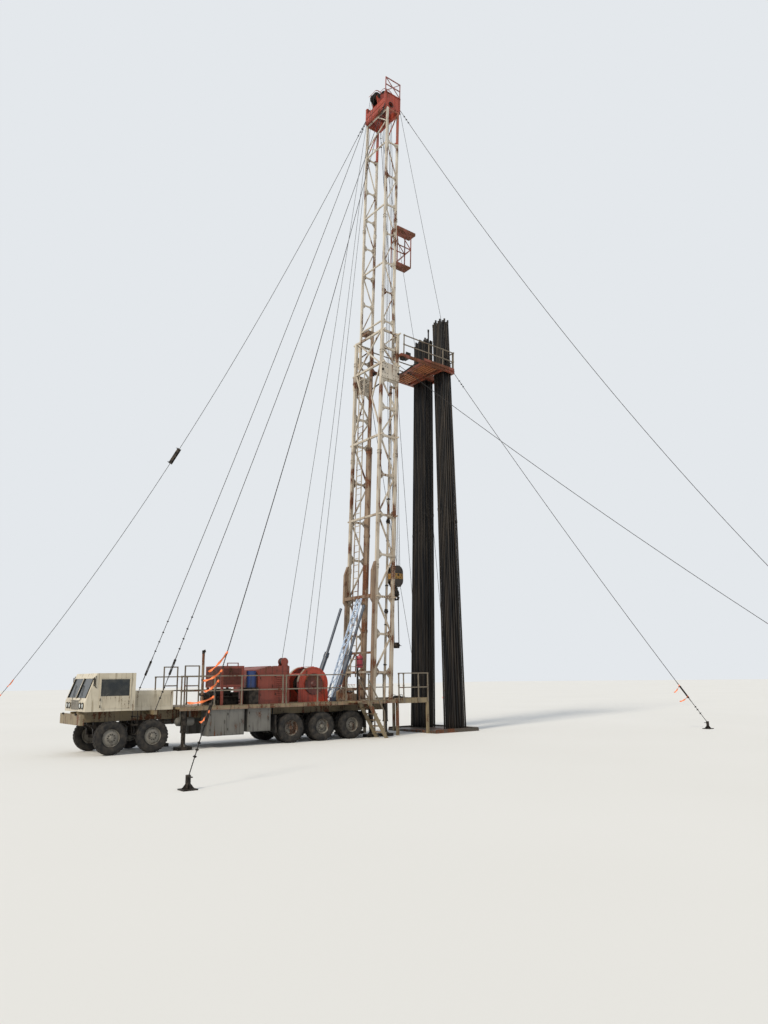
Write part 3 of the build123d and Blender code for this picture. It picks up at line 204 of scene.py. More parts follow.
class RigSizes(bpy.types.PropertyGroup):
    """Sizes of ropes, pipe, bolts and slats."""
    guy: length_choice("Guy rope", 0.03, "Diameter of the guys")
    hanger: length_choice("Light rope", 0.022, "Diameter of the hangers and the sand line")
    fall: length_choice("Fall rope", 0.026, "Diameter of the falls between crown and block")
    lay: length_choice("Rope lay", 0.34, "Length in which a strand goes once round, drawn coarse")
    pipe: length_choice("Tubing", 0.073, "Diameter of the racked tubing")
    collar: length_choice("Collar", 0.093, "Diameter of the tubing's collars")
    bolt: length_choice("Bolt head", 0.034, "Width across a bolt head")
    slat: length_choice("Slat pitch", 0.075, "Distance between the louvres of a housing")
    rib: length_choice("Rib pitch", 0.15, "Distance between the ribs under the board")


# Shapes

def raised(at, along, level):
    """A place in two of the axes, with its level along the third put in."""
    axis = "XYZ".index(along)
    return (*at[:axis], level, *at[axis:])


class Shape:
    """Corners and faces of one piece, in the rig's frame or along the leaning mast."""

    def __init__(self, place=Matrix()):
        self.corners = []
        self.faces = []
        self.place = place

    def add(self, corners, faces):
        first = len(self.corners)
        self.corners += [self.place @ Vector(corner) for corner in corners]
        self.faces += [[first + index for index in face] for face in faces]
        return self

    def copies(self, other, places):
        """Another shape, repeated at a list of places."""
        for place in places:
            self.add([place @ corner for corner in other.corners], other.faces)
        return self

    def loft(self, rings, closed=False):
        """Skin over rings of corners; its ends are capped, or joined to each other."""
        count = len(rings[0])
        faces = []
        spans = len(rings) if closed else len(rings) - 1
        for span in range(spans):
            low, high = span * count, (span + 1) % len(rings) * count
            faces += [(low + i, low + (i + 1) % count, high + (i + 1) % count, high + i)
                      for i in range(count)]
        if not closed:
            faces += [tuple(range(count)), tuple(range(spans * count, (spans + 1) * count))]
        return self.add([corner for ring in rings for corner in ring], faces)

    def box(self, low, high):
        """Box between two corners."""
        (x0, y0, z0), (x1, y1, z1) = low, high
        return self.loft([[(x0, y0, z), (x1, y0, z), (x1, y1, z), (x0, y1, z)] for z in (z0, z1)])

    def slab(self, outline, along, thick):
        """Plate of an outline in the two other axes, between two limits along one axis."""
        return self.loft([[raised(at, along, limit) for at in outline] for limit in thick])

    def beam(self, start, end, width, depth=None, up=(0, 1, 0)):
        """Straight bar; its width lies across the given direction and its depth along it."""
        start, end = Vector(start), Vector(end)
        run = (end - start).normalized()
        side = run.cross(Vector(up)).normalized() * (width / 2)
        rise = side.cross(run).normalized() * ((depth or width) / 2)
        return self.loft([[at + side + rise, at - side + rise, at - side - rise, at + side - rise]
                          for at in (start, end)])

    def tube(self, points, radius, sides=8, closed=False):
        """Round bar along a line of points; the radius may be a list."""
        points = [Vector(point) for point in points]
        radii = radius if isinstance(radius, (list, tuple)) else [radius] * len(points)
        rings = []
        normal = None
        for index, point in enumerate(points):
            after = points[(index + 1) % len(points)] if closed or index + 1 < len(points) else point
            before = points[index - 1] if closed or index else point
            run = (after - before).normalized()
            if normal is None:
                normal = run.orthogonal().normalized()
            normal = (normal - run * normal.dot(run)).normalized()
            other = run.cross(normal)
            rings.append([point + (normal * cos(turn) + other * sin(turn)) * radii[index]
                          for turn in (2 * pi * i / sides for i in range(sides))])
        return self.loft(rings, closed)

    def lathe(self, centre, along, outline, sides=24, closed=False):
        """Turned form: radius and distance along its axis, X, Y or Z."""
        turns = [2 * pi * (i + 0.5) / sides for i in range(sides)]
        return self.loft([[Vector(centre) + Vector(raised((radius * cos(t), radius * sin(t)), along, far))
                           for t in turns] for radius, far in outline], closed)

    def band(self, centre, along, radii, span, sides=24, closed=True):
        """Ring or disc of a square section, between two radii and two places along its axis."""
        (inner, outer), (low, high) = radii, span
        outline = [(inner, low), (outer, low), (outer, high), (inner, high)]
        return self.lathe(centre, along, outline, sides, closed)

    def arch(self, centre, radii, turns, steps, limits):
        """Curved bar in an upright plane along the rig, between two radii and two angles."""
        outer, inner = (around(centre, radius, *turns, steps, 0) for radius in radii)
        y0, y1 = limits
        return self.loft([[(ax, y0, az), (ax, y1, az), (bx, y1, bz), (bx, y0, bz)]
                          for (ax, _, az), (bx, _, bz) in zip(outer, inner)])

    def webs(self, foot, near, far, rise, half):
        """Four upright three-cornered plates round a post, each from a near to a far distance."""
        foot, top = Vector(foot), Vector((0, 0, rise))
        for turn in range(4):
            way = Vector((cos(turn * pi / 2), sin(turn * pi / 2), 0))
            side = Vector((-way.y, way.x, 0)) * half
            self.loft([[foot + way * near + s, foot + way * far + s, foot + way * near + s + top]
                       for s in (side, -side)])

    def mirrored(self):
        """The same again on the far side."""
        self.faces += [[len(self.corners) + index for index in face] for face in self.faces]
        self.corners += [Vector((x, -y, z)) for x, y, z in self.corners]
        return self

    def piece(self, name):
        """A mesh object of the shape, its faces pointing outwards."""
        mesh = bpy.data.meshes.new(name)
        mesh.from_pydata(self.corners, [], self.faces)
        work = bmesh.new()
        work.from_mesh(mesh)
        bmesh.ops.recalc_face_normals(work, faces=work.faces)
        work.to_mesh(mesh)
        work.free()
        made = bpy.data.objects.new(name, mesh)
        bpy.context.scene.collection.objects.link(made)
        return made

    def seat(self, name, slot, **more):
        """The shape as a finished piece."""
        return seat(self.piece(name), slot, **more)


def seat(piece, slot, body="rig", finish=None, smooth=35, replaces=()):
    """Gives a finished piece its finish, its body and the nodes that it stands for."""
    mesh = piece.data
    if smooth:
        mesh.polygons.foreach_set("use_smooth", [True] * len(mesh.polygons))
        mesh.set_sharp_from_angle(angle=radians(smooth))
    mesh.materials.clear()
    mesh.materials.append(finish or FINISHES[slot])
    if body:
        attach(piece, body)
    if replaces:
        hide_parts(*replaces)
    return piece


def grown(piece, tree, **inputs):
    """The piece after a Geometry Nodes tree, as a plain mesh."""
    modifier = piece.modifiers.new("grow", "NODES")
    modifier.node_group = tree
    for item in tree.interface.items_tree:
        if item.in_out == "INPUT" and item.name in inputs:
            modifier[item.identifier] = inputs[item.name]
    depsgraph = bpy.context.evaluated_depsgraph_get()
    mesh = bpy.data.meshes.new_from_object(piece.evaluated_get(depsgraph))
    piece.modifiers.remove(modifier)
    mesh.name = piece.name
    piece.data = mesh
    return piece


def hung(start, end, sag, steps=48):
    """Points of a wire rope between two places, with the sag of its own weight."""
    start, end = Vector(start), Vector(end)
    return [start.lerp(end, t) - Vector((0, 0, 4 * sag * t * (1 - t)))
            for t in (step / steps for step in range(steps + 1))]


def on_mast(x, y, z):
    """Where a place in the mast's own frame lies on the rig."""
    return MAST @ Vector((x, y, z))


def around(centre, radius, start, end, steps, y):
    """Points on an arc in an upright plane along the rig, between two angles in degrees."""
    return [(centre[0] + radius * cos(turn), y, centre[1] + radius * sin(turn))
            for turn in (radians(start + (end - start) * i / steps) for i in range(steps + 1))]


def even(outline):
    """A turned outline with its mirror image, for a form that is the same towards both ends."""
    return outline + [(radius, -distance) for radius, distance in reversed(outline) if distance]


def bolt_circle(centre, radius, count, side, out):
    """Places of bolt heads in a circle that faces one side, at a distance out from the middle."""
    last = 360 - 360 / count
    return [(at, (0, side, 0)) for at in around(centre, radius, 0, last, count - 1, side * out)]


# Geometry Nodes trees

def start_tree(name, inputs):
    """A tree with its named inputs, and the node that brings them in."""
    tree = bpy.data.node_groups.new(name, "GeometryNodeTree")
    tree.interface.new_socket("Geometry", in_out="INPUT", socket_type="NodeSocketGeometry")
    for label, kind in inputs:
        tree.interface.new_socket(label, in_out="INPUT", socket_type="NodeSocket" + kind)
    tree.interface.new_socket("Finish", in_out="INPUT", socket_type="NodeSocketMaterial")
    tree.interface.new_socket("Geometry", in_out="OUTPUT", socket_type="NodeSocketGeometry")
    return tree, add(tree, "NodeGroupInput").outputs


def end_tree(tree, given, geometry):
    """Makes the copies real and gives them their finish."""
    real = add(tree, "GeometryNodeRealizeInstances", {"Geometry": geometry})
    finished = add(tree, "GeometryNodeSetMaterial", {"Geometry": real, "Material": given["Finish"]})
    add(tree, "NodeGroupOutput", {"Geometry": finished})
    return tree


def row_tree():
    """Repeats a shape in a straight row."""
    tree, given = start_tree("row", [("Count", "Int"), ("Step", "Vector")])
    line = add(tree, "GeometryNodeMeshLine", {"Count": given["Count"], "Offset": given["Step"]})
    copies = add(tree, "GeometryNodeInstanceOnPoints", {"Points": line, "Instance": given["Geometry"]})
    return end_tree(tree, given, copies)


def ring_tree():
    """Repeats a shape in a ring about the Y axis."""
    tree, given = start_tree("ring", [("Count", "Int")])
    line = add(tree, "GeometryNodeMeshLine", {"Count": given["Count"], "Offset": (0, 0, 0)})
    step = add(tree, "ShaderNodeMath", {0: 2 * pi, 1: given["Count"]}, operation="DIVIDE")
    turn = add(tree, "ShaderNodeMath", {0: add(tree, "GeometryNodeInputIndex"), 1: step},
               operation="MULTIPLY")
    about = add(tree, "ShaderNodeCombineXYZ", {"Y": turn})
    ring = add(tree, "GeometryNodeInstanceOnPoints",
               {"Points": line, "Instance": given["Geometry"], "Rotation": about})
    return end_tree(tree, given, ring)


def rope_tree():
    """Lays five coarse strands round the line that it is given."""
    tree, given = start_tree("laid_rope", [("Diameter", "Float"), ("Lay", "Float")])
    line = add(tree, "GeometryNodeMeshToCurve", {"Mesh": given["Geometry"]})
    step = add(tree, "ShaderNodeMath", {0: given["Lay"], 1: 5.0}, operation="DIVIDE")
    spaced = add(tree, "GeometryNodeResampleCurve", {"Curve": line, "Length": step}, mode="LENGTH")
    along = add(tree, "GeometryNodeSplineParameter").outputs["Length"]
    turns = add(tree, "ShaderNodeMath", {0: along, 1: given["Lay"]}, operation="DIVIDE")
    tilt = add(tree, "ShaderNodeMath", {0: turns, 1: 2 * pi}, operation="MULTIPLY")
    laid = add(tree, "GeometryNodeSetCurveTilt", {"Curve": spaced, "Tilt": tilt})
    outer = add(tree, "ShaderNodeMath", {0: given["Diameter"], 1: 0.5}, operation="MULTIPLY")
    inner = add(tree, "ShaderNodeMath", {0: given["Diameter"], 1: 0.39}, operation="MULTIPLY")
    section = add(tree, "GeometryNodeCurveStar",
                  {"Points": 5, "Inner Radius": inner, "Outer Radius": outer})
    rope = add(tree, "GeometryNodeCurveToMesh", {"Curve": laid, "Profile Curve": section,
                                                 "Fill Caps": True})
    return end_tree(tree, given, rope)


def bolt_tree():
    """Sets a six-sided head on each point, facing the way that the point says."""
    tree, given = start_tree("bolt_heads", [("Width", "Float")])
    radius = add(tree, "ShaderNodeMath", {0: given["Width"], 1: 0.5}, operation="MULTIPLY")
    height = add(tree, "ShaderNodeMath", {0: given["Width"], 1: 0.7}, operation="MULTIPLY")
    head = add(tree, "GeometryNodeMeshCylinder", {"Vertices": 6, "Radius": radius, "Depth": height})
    facing = add(tree, "GeometryNodeInputNamedAttribute", {"Name": "facing"}, data_type="FLOAT_VECTOR")
    turned = add(tree, "FunctionNodeAlignRotationToVector", {"Vector": facing}, axis="Z")
    heads = add(tree, "GeometryNodeInstanceOnPoints",
                {"Points": given["Geometry"], "Instance": head, "Rotation": turned})
    return end_tree(tree, given, heads)


def repeated(name, shape, tree, slot, finish=None, **inputs):
    """A shape grown by one of the trees, as an object of its own."""
    return grown(shape.piece(name), TREES[tree], Finish=finish or FINISHES[slot], **inputs)


def row(name, shape, slot, count, step, finish=None, smooth=0):
    """A shape repeated in a straight row, as a finished piece."""
    piece = repeated(name, shape, "row", slot, finish, Count=count, Step=step)
    return seat(piece, slot, finish=finish, smooth=smooth)


def ropes(name, lines, diameter, lay, replaces=(), body="rig"):
    """Laid wire ropes along lists of points, as one piece."""
    shape = Shape()
    edges = []
    for line in lines:
        first = len(shape.corners)
        shape.add(line, [])
        edges += [(first + i, first + i + 1) for i in range(len(line) - 1)]
    piece = shape.piece(name)
    piece.data.clear_geometry()
    piece.data.from_pydata(shape.corners, edges, [])
    grown(piece, TREES["rope"], Diameter=diameter, Lay=lay, Finish=FINISHES["wire_rope"])
    return seat(piece, "wire_rope", body, smooth=0, replaces=replaces)


def bolts(name, places, width, slot="dark_steel", body="rig", place=Matrix()):
    """Bolt heads at places, each with the direction that it faces."""
    turn = place.to_3x3()
    mesh = bpy.data.meshes.new(name)
    mesh.from_pydata([place @ Vector(at) for at, _ in places], [], [])
    facing = mesh.attributes.new("facing", "FLOAT_VECTOR", "POINT")
    facing.data.foreach_set("vector", [v for _, way in places for v in turn @ Vector(way)])
    piece = bpy.data.objects.new(name, mesh)
    bpy.context.scene.collection.objects.link(piece)
    grown(piece, TREES["bolts"], Width=width, Finish=FINISHES[slot])
    return seat(piece, slot, body, smooth=0)


# Materials

def fresh(name):
    """A new material with one Principled shader, its tree and where a point lies on the rig."""
    material = bpy.data.materials.new(name)
    material.use_nodes = True
    tree = material.node_tree
    tree.nodes.clear()
    shader = add(tree, "ShaderNodeBsdfPrincipled")
    add(tree, "ShaderNodeOutputMaterial", {"Surface": shader})
    return material, tree, shader, add(tree, "ShaderNodeTexCoord").outputs["Object"]


# How large the patches, specks and runs of worn paint are in millimetres, and how much longer than
# wide a run is
PATCH_MM, SPECK_MM, RUN_MM, RUN_STRETCH = 700, 35, 90, 14


def worn_paint(name, paint, grime, share, gloss=0.5, band=None, film=None, rust=RUST):
    """Enamel on steel left outdoors: chalky paint, dark runs below the joints, and rust that
    spreads in patches where the paint has lifted. A band of another paint may cross it, given as
    its colour, its two heights and the rearmost place along the rig that it leaves alone. A film of
    grease, given as its strength at the ground and the height where it ends, thins upwards."""
    material, tree, shader, place = fresh(name)
    grime = linear(grime)
    cloud = add(tree, "ShaderNodeTexNoise", {"Vector": place, "Scale": 1000 / PATCH_MM, "Detail": 5.0})
    grain = add(tree, "ShaderNodeTexNoise", {"Vector": place, "Scale": 1000 / SPECK_MM, "Detail": 3.0,
                                             "Roughness": 0.7})
    hanging = add(tree, "ShaderNodeMapping", {"Vector": place, "Scale": (1.0, 1.0, 1 / RUN_STRETCH)})
    runs = add(tree, "ShaderNodeTexNoise", {"Vector": hanging, "Scale": 1000 / RUN_MM, "Detail": 4.0})
    sooted = add(tree, "ShaderNodeMapRange", {"Value": cloud, "From Min": 0.35, "From Max": 0.65,
                                              "To Max": 0.35}, interpolation_type="SMOOTHSTEP")
    base = paint
    x, _, z = add(tree, "ShaderNodeSeparateXYZ", {"Vector": place}).outputs
    if film:
        strength, end = film
        greased = add(tree, "ShaderNodeMapRange", {"Value": z, "From Max": end, "To Min": strength,
                                                   "To Max": 0.0})
        sooted = add(tree, "ShaderNodeMath", {0: sooted, 1: greased}, operation="ADD", use_clamp=True)
    if band:
        colour, low, high, front = band
        inside = add(tree, "ShaderNodeMath", {0: z, 1: low}, operation="GREATER_THAN")
        for level, limit, test in ((z, high, "LESS_THAN"), (x, front, "GREATER_THAN")):
            within = add(tree, "ShaderNodeMath", {0: level, 1: limit}, operation=test)
            inside = add(tree, "ShaderNodeMath", {0: inside, 1: within}, operation="MULTIPLY")
        base = add(tree, "ShaderNodeMix", {0: inside, 6: paint, 7: colour}, data_type="RGBA").outputs[2]
    tone = add(tree, "ShaderNodeMix", {0: sooted, 6: base, 7: grime}, data_type="RGBA")
    streak = add(tree, "ShaderNodeMapRange", {"Value": runs, "From Min": 0.52, "From Max": 0.68,
                                              "To Max": 0.75}, interpolation_type="SMOOTHSTEP")
    dirt = add(tree, "ShaderNodeMix", {0: streak, 6: tone.outputs[2], 7: grime}, data_type="RGBA")
    mask = 0.0
    for noise, weight in ((cloud, 0.5), (runs, 0.3), (grain, 0.2)):
        mask = add(tree, "ShaderNodeMath", {0: noise, 1: weight, 2: mask}, operation="MULTIPLY_ADD")
    edge = 0.5 + (0.5 - share) * 0.2
    lifted = add(tree, "ShaderNodeMapRange", {"Value": mask, "From Min": edge - 0.012,
                                              "From Max": edge + 0.012}, interpolation_type="SMOOTHSTEP")
    flake = add(tree, "ShaderNodeMapRange", {"Value": grain, "From Min": 0.35, "From Max": 0.65})
    flaky = add(tree, "ShaderNodeMix", {0: flake, 6: linear(rust), 7: linear("#3a2418")},
                data_type="RGBA")
    surface = add(tree, "ShaderNodeMix", {0: lifted, 6: dirt.outputs[2], 7: flaky.outputs[2]},
                  data_type="RGBA")
    dull = add(tree, "ShaderNodeMapRange", {"Value": lifted, "To Min": gloss, "To Max": 0.88})
    height = add(tree, "ShaderNodeMath", {0: lifted, 1: -0.6, 2: grain}, operation="MULTIPLY_ADD")
    bump = add(tree, "ShaderNodeBump", {"Height": height, "Strength": 0.4, "Distance": 0.003})
    fill(tree, shader, {"Base Color": surface.outputs[2], "Roughness": dull, "Normal": bump})
    return material


def bare_steel(name, steel, film, gloss=0.45, metal=0.85, size_mm=120, upright=1.0):
    """Cast or rolled steel with a film of oil and dust: dark, with a dull, broken sheen."""
    material, tree, shader, place = fresh(name)
    # Stretched upright, the lighter film runs in streaks along a piece; on the tubing these streaks are
    # partly painted highlights
    drawn = add(tree, "ShaderNodeMapping", {"Vector": place, "Scale": (1.0, 1.0, 1 / upright)})
    cloud = add(tree, "ShaderNodeTexNoise", {"Vector": drawn, "Scale": 1000 / size_mm, "Detail": 5.0})
    grain = add(tree, "ShaderNodeTexNoise", {"Vector": place, "Scale": 1000 / 12, "Detail": 3.0})
    film_and_highlight_share = add(tree, "ShaderNodeMapRange", {"Value": cloud, "From Min": 0.4, "From Max": 0.62},
                 interpolation_type="SMOOTHSTEP")
    colour = add(tree, "ShaderNodeMix", {0: film_and_highlight_share, 6: linear(steel), 7: linear(film)},
                 data_type="RGBA").outputs[2]
    sheen = add(tree, "ShaderNodeMapRange", {"Value": cloud, "From Min": 0.3, "From Max": 0.7,
                                             "To Min": gloss - 0.12, "To Max": gloss + 0.25})
    bump = add(tree, "ShaderNodeBump", {"Height": grain, "Strength": 0.3, "Distance": 0.001})
    fill(tree, shader, {"Metallic": metal, "Base Color": colour, "Roughness": sheen, "Normal": bump})
    return material


def rubber():
    """Vulcanised tyre rubber: black, with pale dust in the hollows and no gloss."""
    material, tree, shader, place = fresh("dusty_tyre_rubber")
    dust = add(tree, "ShaderNodeTexNoise", {"Vector": place, "Scale": 1000 / 160, "Detail": 5.0})
    share = add(tree, "ShaderNodeMapRange", {"Value": dust, "From Min": 0.38, "From Max": 0.68})
    colour = add(tree, "ShaderNodeMix", {0: share, 6: linear("#161617"), 7: linear("#3a352f")},
                 data_type="RGBA").outputs[2]
    fill(tree, shader, {"Base Color": colour, "Roughness": 0.9})
    return material


def cab_glass():
    """Toughened glass seen by day: dark, with a clear reflection under a film of dust."""
    material, tree, shader, place = fresh("toughened_cab_glass")
    dust = add(tree, "ShaderNodeTexNoise", {"Vector": place, "Scale": 1000 / 220, "Detail": 3.0})
    share = add(tree, "ShaderNodeMapRange", {"Value": dust, "From Min": 0.4, "From Max": 0.8,
                                             "To Max": 0.3})
    colour = add(tree, "ShaderNodeMix", {0: share, 6: linear("#10181b"), 7: linear("#6d6a60")},
                 data_type="RGBA").outputs[2]
    dull = add(tree, "ShaderNodeMapRange", {"Value": dust, "From Min": 0.4, "From Max": 0.8,
                                            "To Min": 0.05, "To Max": 0.4})
    fill(tree, shader, {"Base Color": colour, "Roughness": dull, "IOR": 1.52})
    return material


def plain_film(name, shades, rough, size_mm, glow=0.0):
    """Thin plastic or lens: clean colour that fades a little from place to place."""
    material, tree, shader, place = fresh(name)
    fade = add(tree, "ShaderNodeTexNoise", {"Vector": place, "Scale": 1000 / size_mm, "Detail": 2.0})
    colour = add(tree, "ShaderNodeMix", {0: fade, 6: shades[0], 7: shades[1]},
                 data_type="RGBA").outputs[2]
    fill(tree, shader, {"Base Color": colour, "Roughness": rough, "Sheen Weight": glow})
    return material


def mix_finishes(paints):
    """Every finish by the name of the slot in the record that it stands for."""
    return {
        # White-cream enamel, sprayed: chalked by the sun, with grease runs and rust at the joints,
        # and the crown's red on the upper section's rear legs
        "mast_cream": worn_paint("chalked_enamel_cream", paints.mast, "#83705a", 0.2,
                                 band=(paints.crown, 28.85, 31.2, -0.57), film=(0.55, 20.0)),
        # Old primer over steel: brown all over, darker where oil has run
        "mast_brown": worn_paint("oiled_primer_brown", linear("#86705a"), "#4a382c", 0.35),
        # Red oxide enamel, brushed: matt, a little faded on top
        "crown_red": worn_paint("faded_enamel_red", paints.crown, "#6a2c20", 0.18),
        # Orange enamel gone to rust: the board's beams are half bare
        "board_orange": worn_paint("rusting_enamel_orange", paints.board, "#5f3424", 0.4),
        # Galvanised tube, weathered: grey-tan with dull spots, and red oxide on the crown's rail
        "rail_grey": worn_paint("weathered_galvanised_tube", linear("#786e5f"), "#51483b", 0.14,
                                band=(linear("#95524a"), 31.3, 34.0, -9.0)),
        # Forged and cast steel under grease: near black, with a dull sheen
        "dark_steel": bare_steel("greased_cast_steel", "#242220", "#46403a"),
        # Tubing with mill scale, racked wet with oil: blue-black, with lighter tan streaks drawn down it
        # that are partly mud and partly painted highlights along the pipes
        "pipe_steel": bare_steel("oiled_tubing_scale", "#0f1013", "#38322c", 0.36, 0.6, 55, 60.0),
        # Drawn steel wire, laid up and greased: dark grey, with a broken line of light
        "wire_rope": bare_steel("greased_wire_rope", "#2a2a2c", "#454240", 0.5, 0.6, 60),
        # Enamel worn through by rope and pipe, with a yellow band sprayed round it
        "block_paint": worn_paint("worn_enamel_olive", linear("#30271f"), "#1e1a17", 0.3,
                                  band=(linear("#96702f"), 6.76, 7.01, -9.0)),
        # Deck plate: paint trodden off, mud and oil dried on
        "deck_grey": worn_paint("trodden_deck_plate", paints.deck, "#4d4536", 0.25),
        # Red enamel baked by the engine: dull, brown at the seams
        "housing_red": worn_paint("baked_enamel_red", paints.housing, "#4c241b", 0.22),
        # Orange-red enamel, newer coat: brighter, still satin
        "guard_orange": worn_paint("satin_enamel_orange_red", paints.guard, "#7a3022", 0.12, 0.4),
        # Oil drum enamel: deep blue, scuffed
        "barrel_blue": worn_paint("scuffed_enamel_blue", paints.barrel, "#1a2440", 0.1, 0.35),
        # Cab enamel: cream, with patches of road dirt
        "cab_cream": worn_paint("road_worn_enamel_cream", paints.cab, "#8d8069", 0.08, 0.35),
        # Chassis enamel: grey under mud
        "box_grey": worn_paint("road_worn_enamel_grey", linear("#6c6a64"), "#403d38", 0.12),
        # Pressed rim: brake dust over grey enamel
        "rim_grey": worn_paint("brake_dusted_rim", linear("#77736a"), "#45403a", 0.12, rust="#5c4432"),
        # Ram barrel enamel: slate blue, wet with hydraulic oil
        "ram_blue": worn_paint("oiled_enamel_slate", linear("#3a4657"), "#23262c", 0.12, 0.3),
        # Tray plate under the pipe: bare steel, mud and drained oil
        "tray_dark": worn_paint("muddy_tray_plate", linear("#4a4238"), "#2f2a24", 0.35),
        "tyre": rubber(),
        "cab_glass": cab_glass(),
    }


# Pieces of the mast

def make_mast_plates():
    """Gussets in the corners of every ring, and splice collars round the legs."""
    plates = Shape(MAST)
    for rings, (x, y, half), reach in ((LOWER_RINGS, LOWER_LEGS, 0.19), (UPPER_RINGS, UPPER_LEGS, 0.14)):
        for z, side, way in product(rings, SIDES, SIDES):
            inner, corner = side * (x - half), z + way * 0.03
            plates.slab([(inner, corner), (inner - side * reach, corner),
                         (inner - side * reach, corner + way * 0.05),
                         (inner, corner + way * (reach + 0.05))], "Y", (-y - 0.008, -y + 0.008))
    for (z, (x, y, half)), side in product(SPLICES, SIDES):
        reach = half + 0.012
        plates.box((side * x - reach, -y - reach, z), (side * x + reach, -y + reach, z + 0.22))
    plates.mirrored().seat("mast_gussets", "mast_cream", smooth=0)


def make_mast_bolts(sizes):
    """Bolt heads on the splice collars and the lock boxes."""
    places = []
    for (z, (x, y, half)), side, up, across, face in product(SPLICES, SIDES, (0.05, 0.17),
                                                             (-0.035, 0.035), SIDES):
        out = half + 0.015
        places += [((side * x + across, face * (y + out), z + up), (0, face, 0)),
                   ((side * (x + out), face * y + across, z + up), (side, 0, 0))]
    for face, z, side, x in product(SIDES, (15.96, 16.12, 16.43, 16.59), SIDES, (0.18, 0.32, 0.46)):
        places.append(((side * x, face * 1.163, z), (0, face, 0)))
    bolts("mast_bolts", places, sizes.bolt, place=MAST)


def make_mast_fittings():
    """Pins in the lock boxes, clamps and joints of the standpipe, and glands on the rams."""
    steel = Shape(MAST)
    for x in (-LEG_X, LEG_X):
        steel.lathe((x, 1.16, 16.27), "Y", [(0, 0), (0.06, 0), (0.06, 0.04), (0.035, 0.06), (0, 0.06)], 16)
    steel.mirrored()
    x, y = STANDPIPE
    for z in (2.9, 4.6, 6.3, 8.3, 10.2, 12.1, 14.0, 15.3):
        steel.band((x, y, z), "Z", (0.05, 0.075), (0, 0.05), 16, closed=False)
        steel.beam((x, y - 0.03, z + 0.025), (x, y - 0.1, z + 0.025), 0.05, 0.02, up=(0, 0, 1))
    joint = even([(0.05, -0.09), (0.078, -0.09), (0.078, -0.03), (0.098, -0.03)])
    for z in (5.2, 9.2, 13.2):
        steel.lathe((x, y, z), "Z", joint, 12)
    steel.seat("mast_clamps", "dark_steel")
    ram = Shape(MAST)
    for z in (4.4, 8.7, 12.84, 12.7):
        ram.band((0, 0.38, z), "Z", (0.13, 0.152), (-0.06, 0.06), closed=False)
    ram.seat("scoping_ram_glands", "mast_brown")
    ram = Shape()
    run = Vector((0.82, 0, 1.98)).normalized() * 0.05
    for y, (t, radius) in product((-0.88, 0.88), ((0.04, 0.118), (0.93, 0.118), (0.985, 0.11))):
        at = Vector((-3.95, y, DECK_TOP)).lerp((-3.13, y, 3.45), t)
        ram.tube([at - run, at + run], radius, 20)
    ram.seat("raising_ram_glands", "ram_blue")


def make_ladder_rungs():
    """The rungs of the climbing ladder between its widely set ones."""
    rung = Shape(MAST).tube([(-0.385, 0.405, 2.85), (-0.385, 0.795, 2.85)], 0.013)
    row("mast_ladder_rungs", rung, "mast_cream", 23, MAST.to_3x3() @ Vector((0, 0, 0.6)), smooth=35)


def make_access_ladder():
    """The laced ladder from the deck up to the mast's stand."""
    foot, head = Vector((-3.9, 0, DECK_TOP)), Vector((-2.29, 0, 5.72))
    inner, outer, bays = Vector((0, -0.22, 0)), Vector((0, -0.55, 0)), 14
    gap = (head - foot) / bays
    out = Vector((-0.032, 0, 0.012))
    ladder = Shape()
    for rail in (inner, outer):
        ladder.beam(foot + rail, head + rail, 0.045, 0.07)
    for bay in range(bays):
        low, high = foot + gap * bay, foot + gap * (bay + 1)
        for start, end in ((inner, outer), (outer, inner)):
            ladder.beam(low + start + out, high + end + out, 0.03, 0.008, up=(1, 0, 0))
        ladder.tube([low + gap / 2 + inner, low + gap / 2 + outer], 0.014)
    # Pale blue enamel, bright where the sky lights it, with grey scuffs on the rungs
    finish = worn_paint("pale_enamel_blue_white", linear("#b4c6dd"), "#66707f", 0.06)
    ladder.seat("laced_access_ladder", "rail_grey", finish=finish, smooth=0, replaces=("access_ladder",))


# Crown

def make_crown_wheels():
    """Turned sheaves with their hubs and webs, their shafts, and the nuts at the shafts' ends."""
    wheels = Shape(MAST)
    for (x, z), radius, rows in ((MAIN_SHAFT, MAIN_R, SHEAVE_YS), (FRONT_SHAFT, FRONT_R, LINE_SHEAVE_YS)):
        half, root = 0.03, radius - 0.034
        outline = even([(0.072, -0.042), (0.12, -0.042), (0.13, -0.014), (root - 0.05, -0.012),
                        (root - 0.03, -half), (radius, -half), (radius, -half + 0.008),
                        (root + 0.004, -0.011), (root, 0)])
        for y in rows:
            wheels.lathe((x, y, z), "Y", outline, 40, closed=True)
        wheels.lathe((x, 0, z), "Y", even([(0, -0.255), (0.045, -0.255), (0.07, -0.235)]))
        for side in SIDES:
            wheels.band((x, side * 0.245, z), "Y", (0.07, 0.105), (0, side * 0.018), 8)
    wheels.seat("crown_wheels", "dark_steel", replaces=("crown_sheaves",))


def make_crown_ropes(sizes):
    """The falls' heads: up from the line of the falls and over the main sheaves."""
    shaft = on_mast(MAIN_SHAFT[0], 0, MAIN_SHAFT[1])
    root = MAIN_R - 0.02
    lines = []
    for y in SHEAVE_YS:
        over = around((shaft.x, shaft.z), root, 0, 200, 16, y)
        lines += [[(LINE_X, y, FALL_TOP), (shaft.x + root, y, shaft.z - 0.3)] + over,
                  [(-LINE_X, y, FALL_TOP), (-LINE_X, y, shaft.z - MAIN_R)]]
    ropes("falls_heads", lines, sizes.fall, sizes.lay)


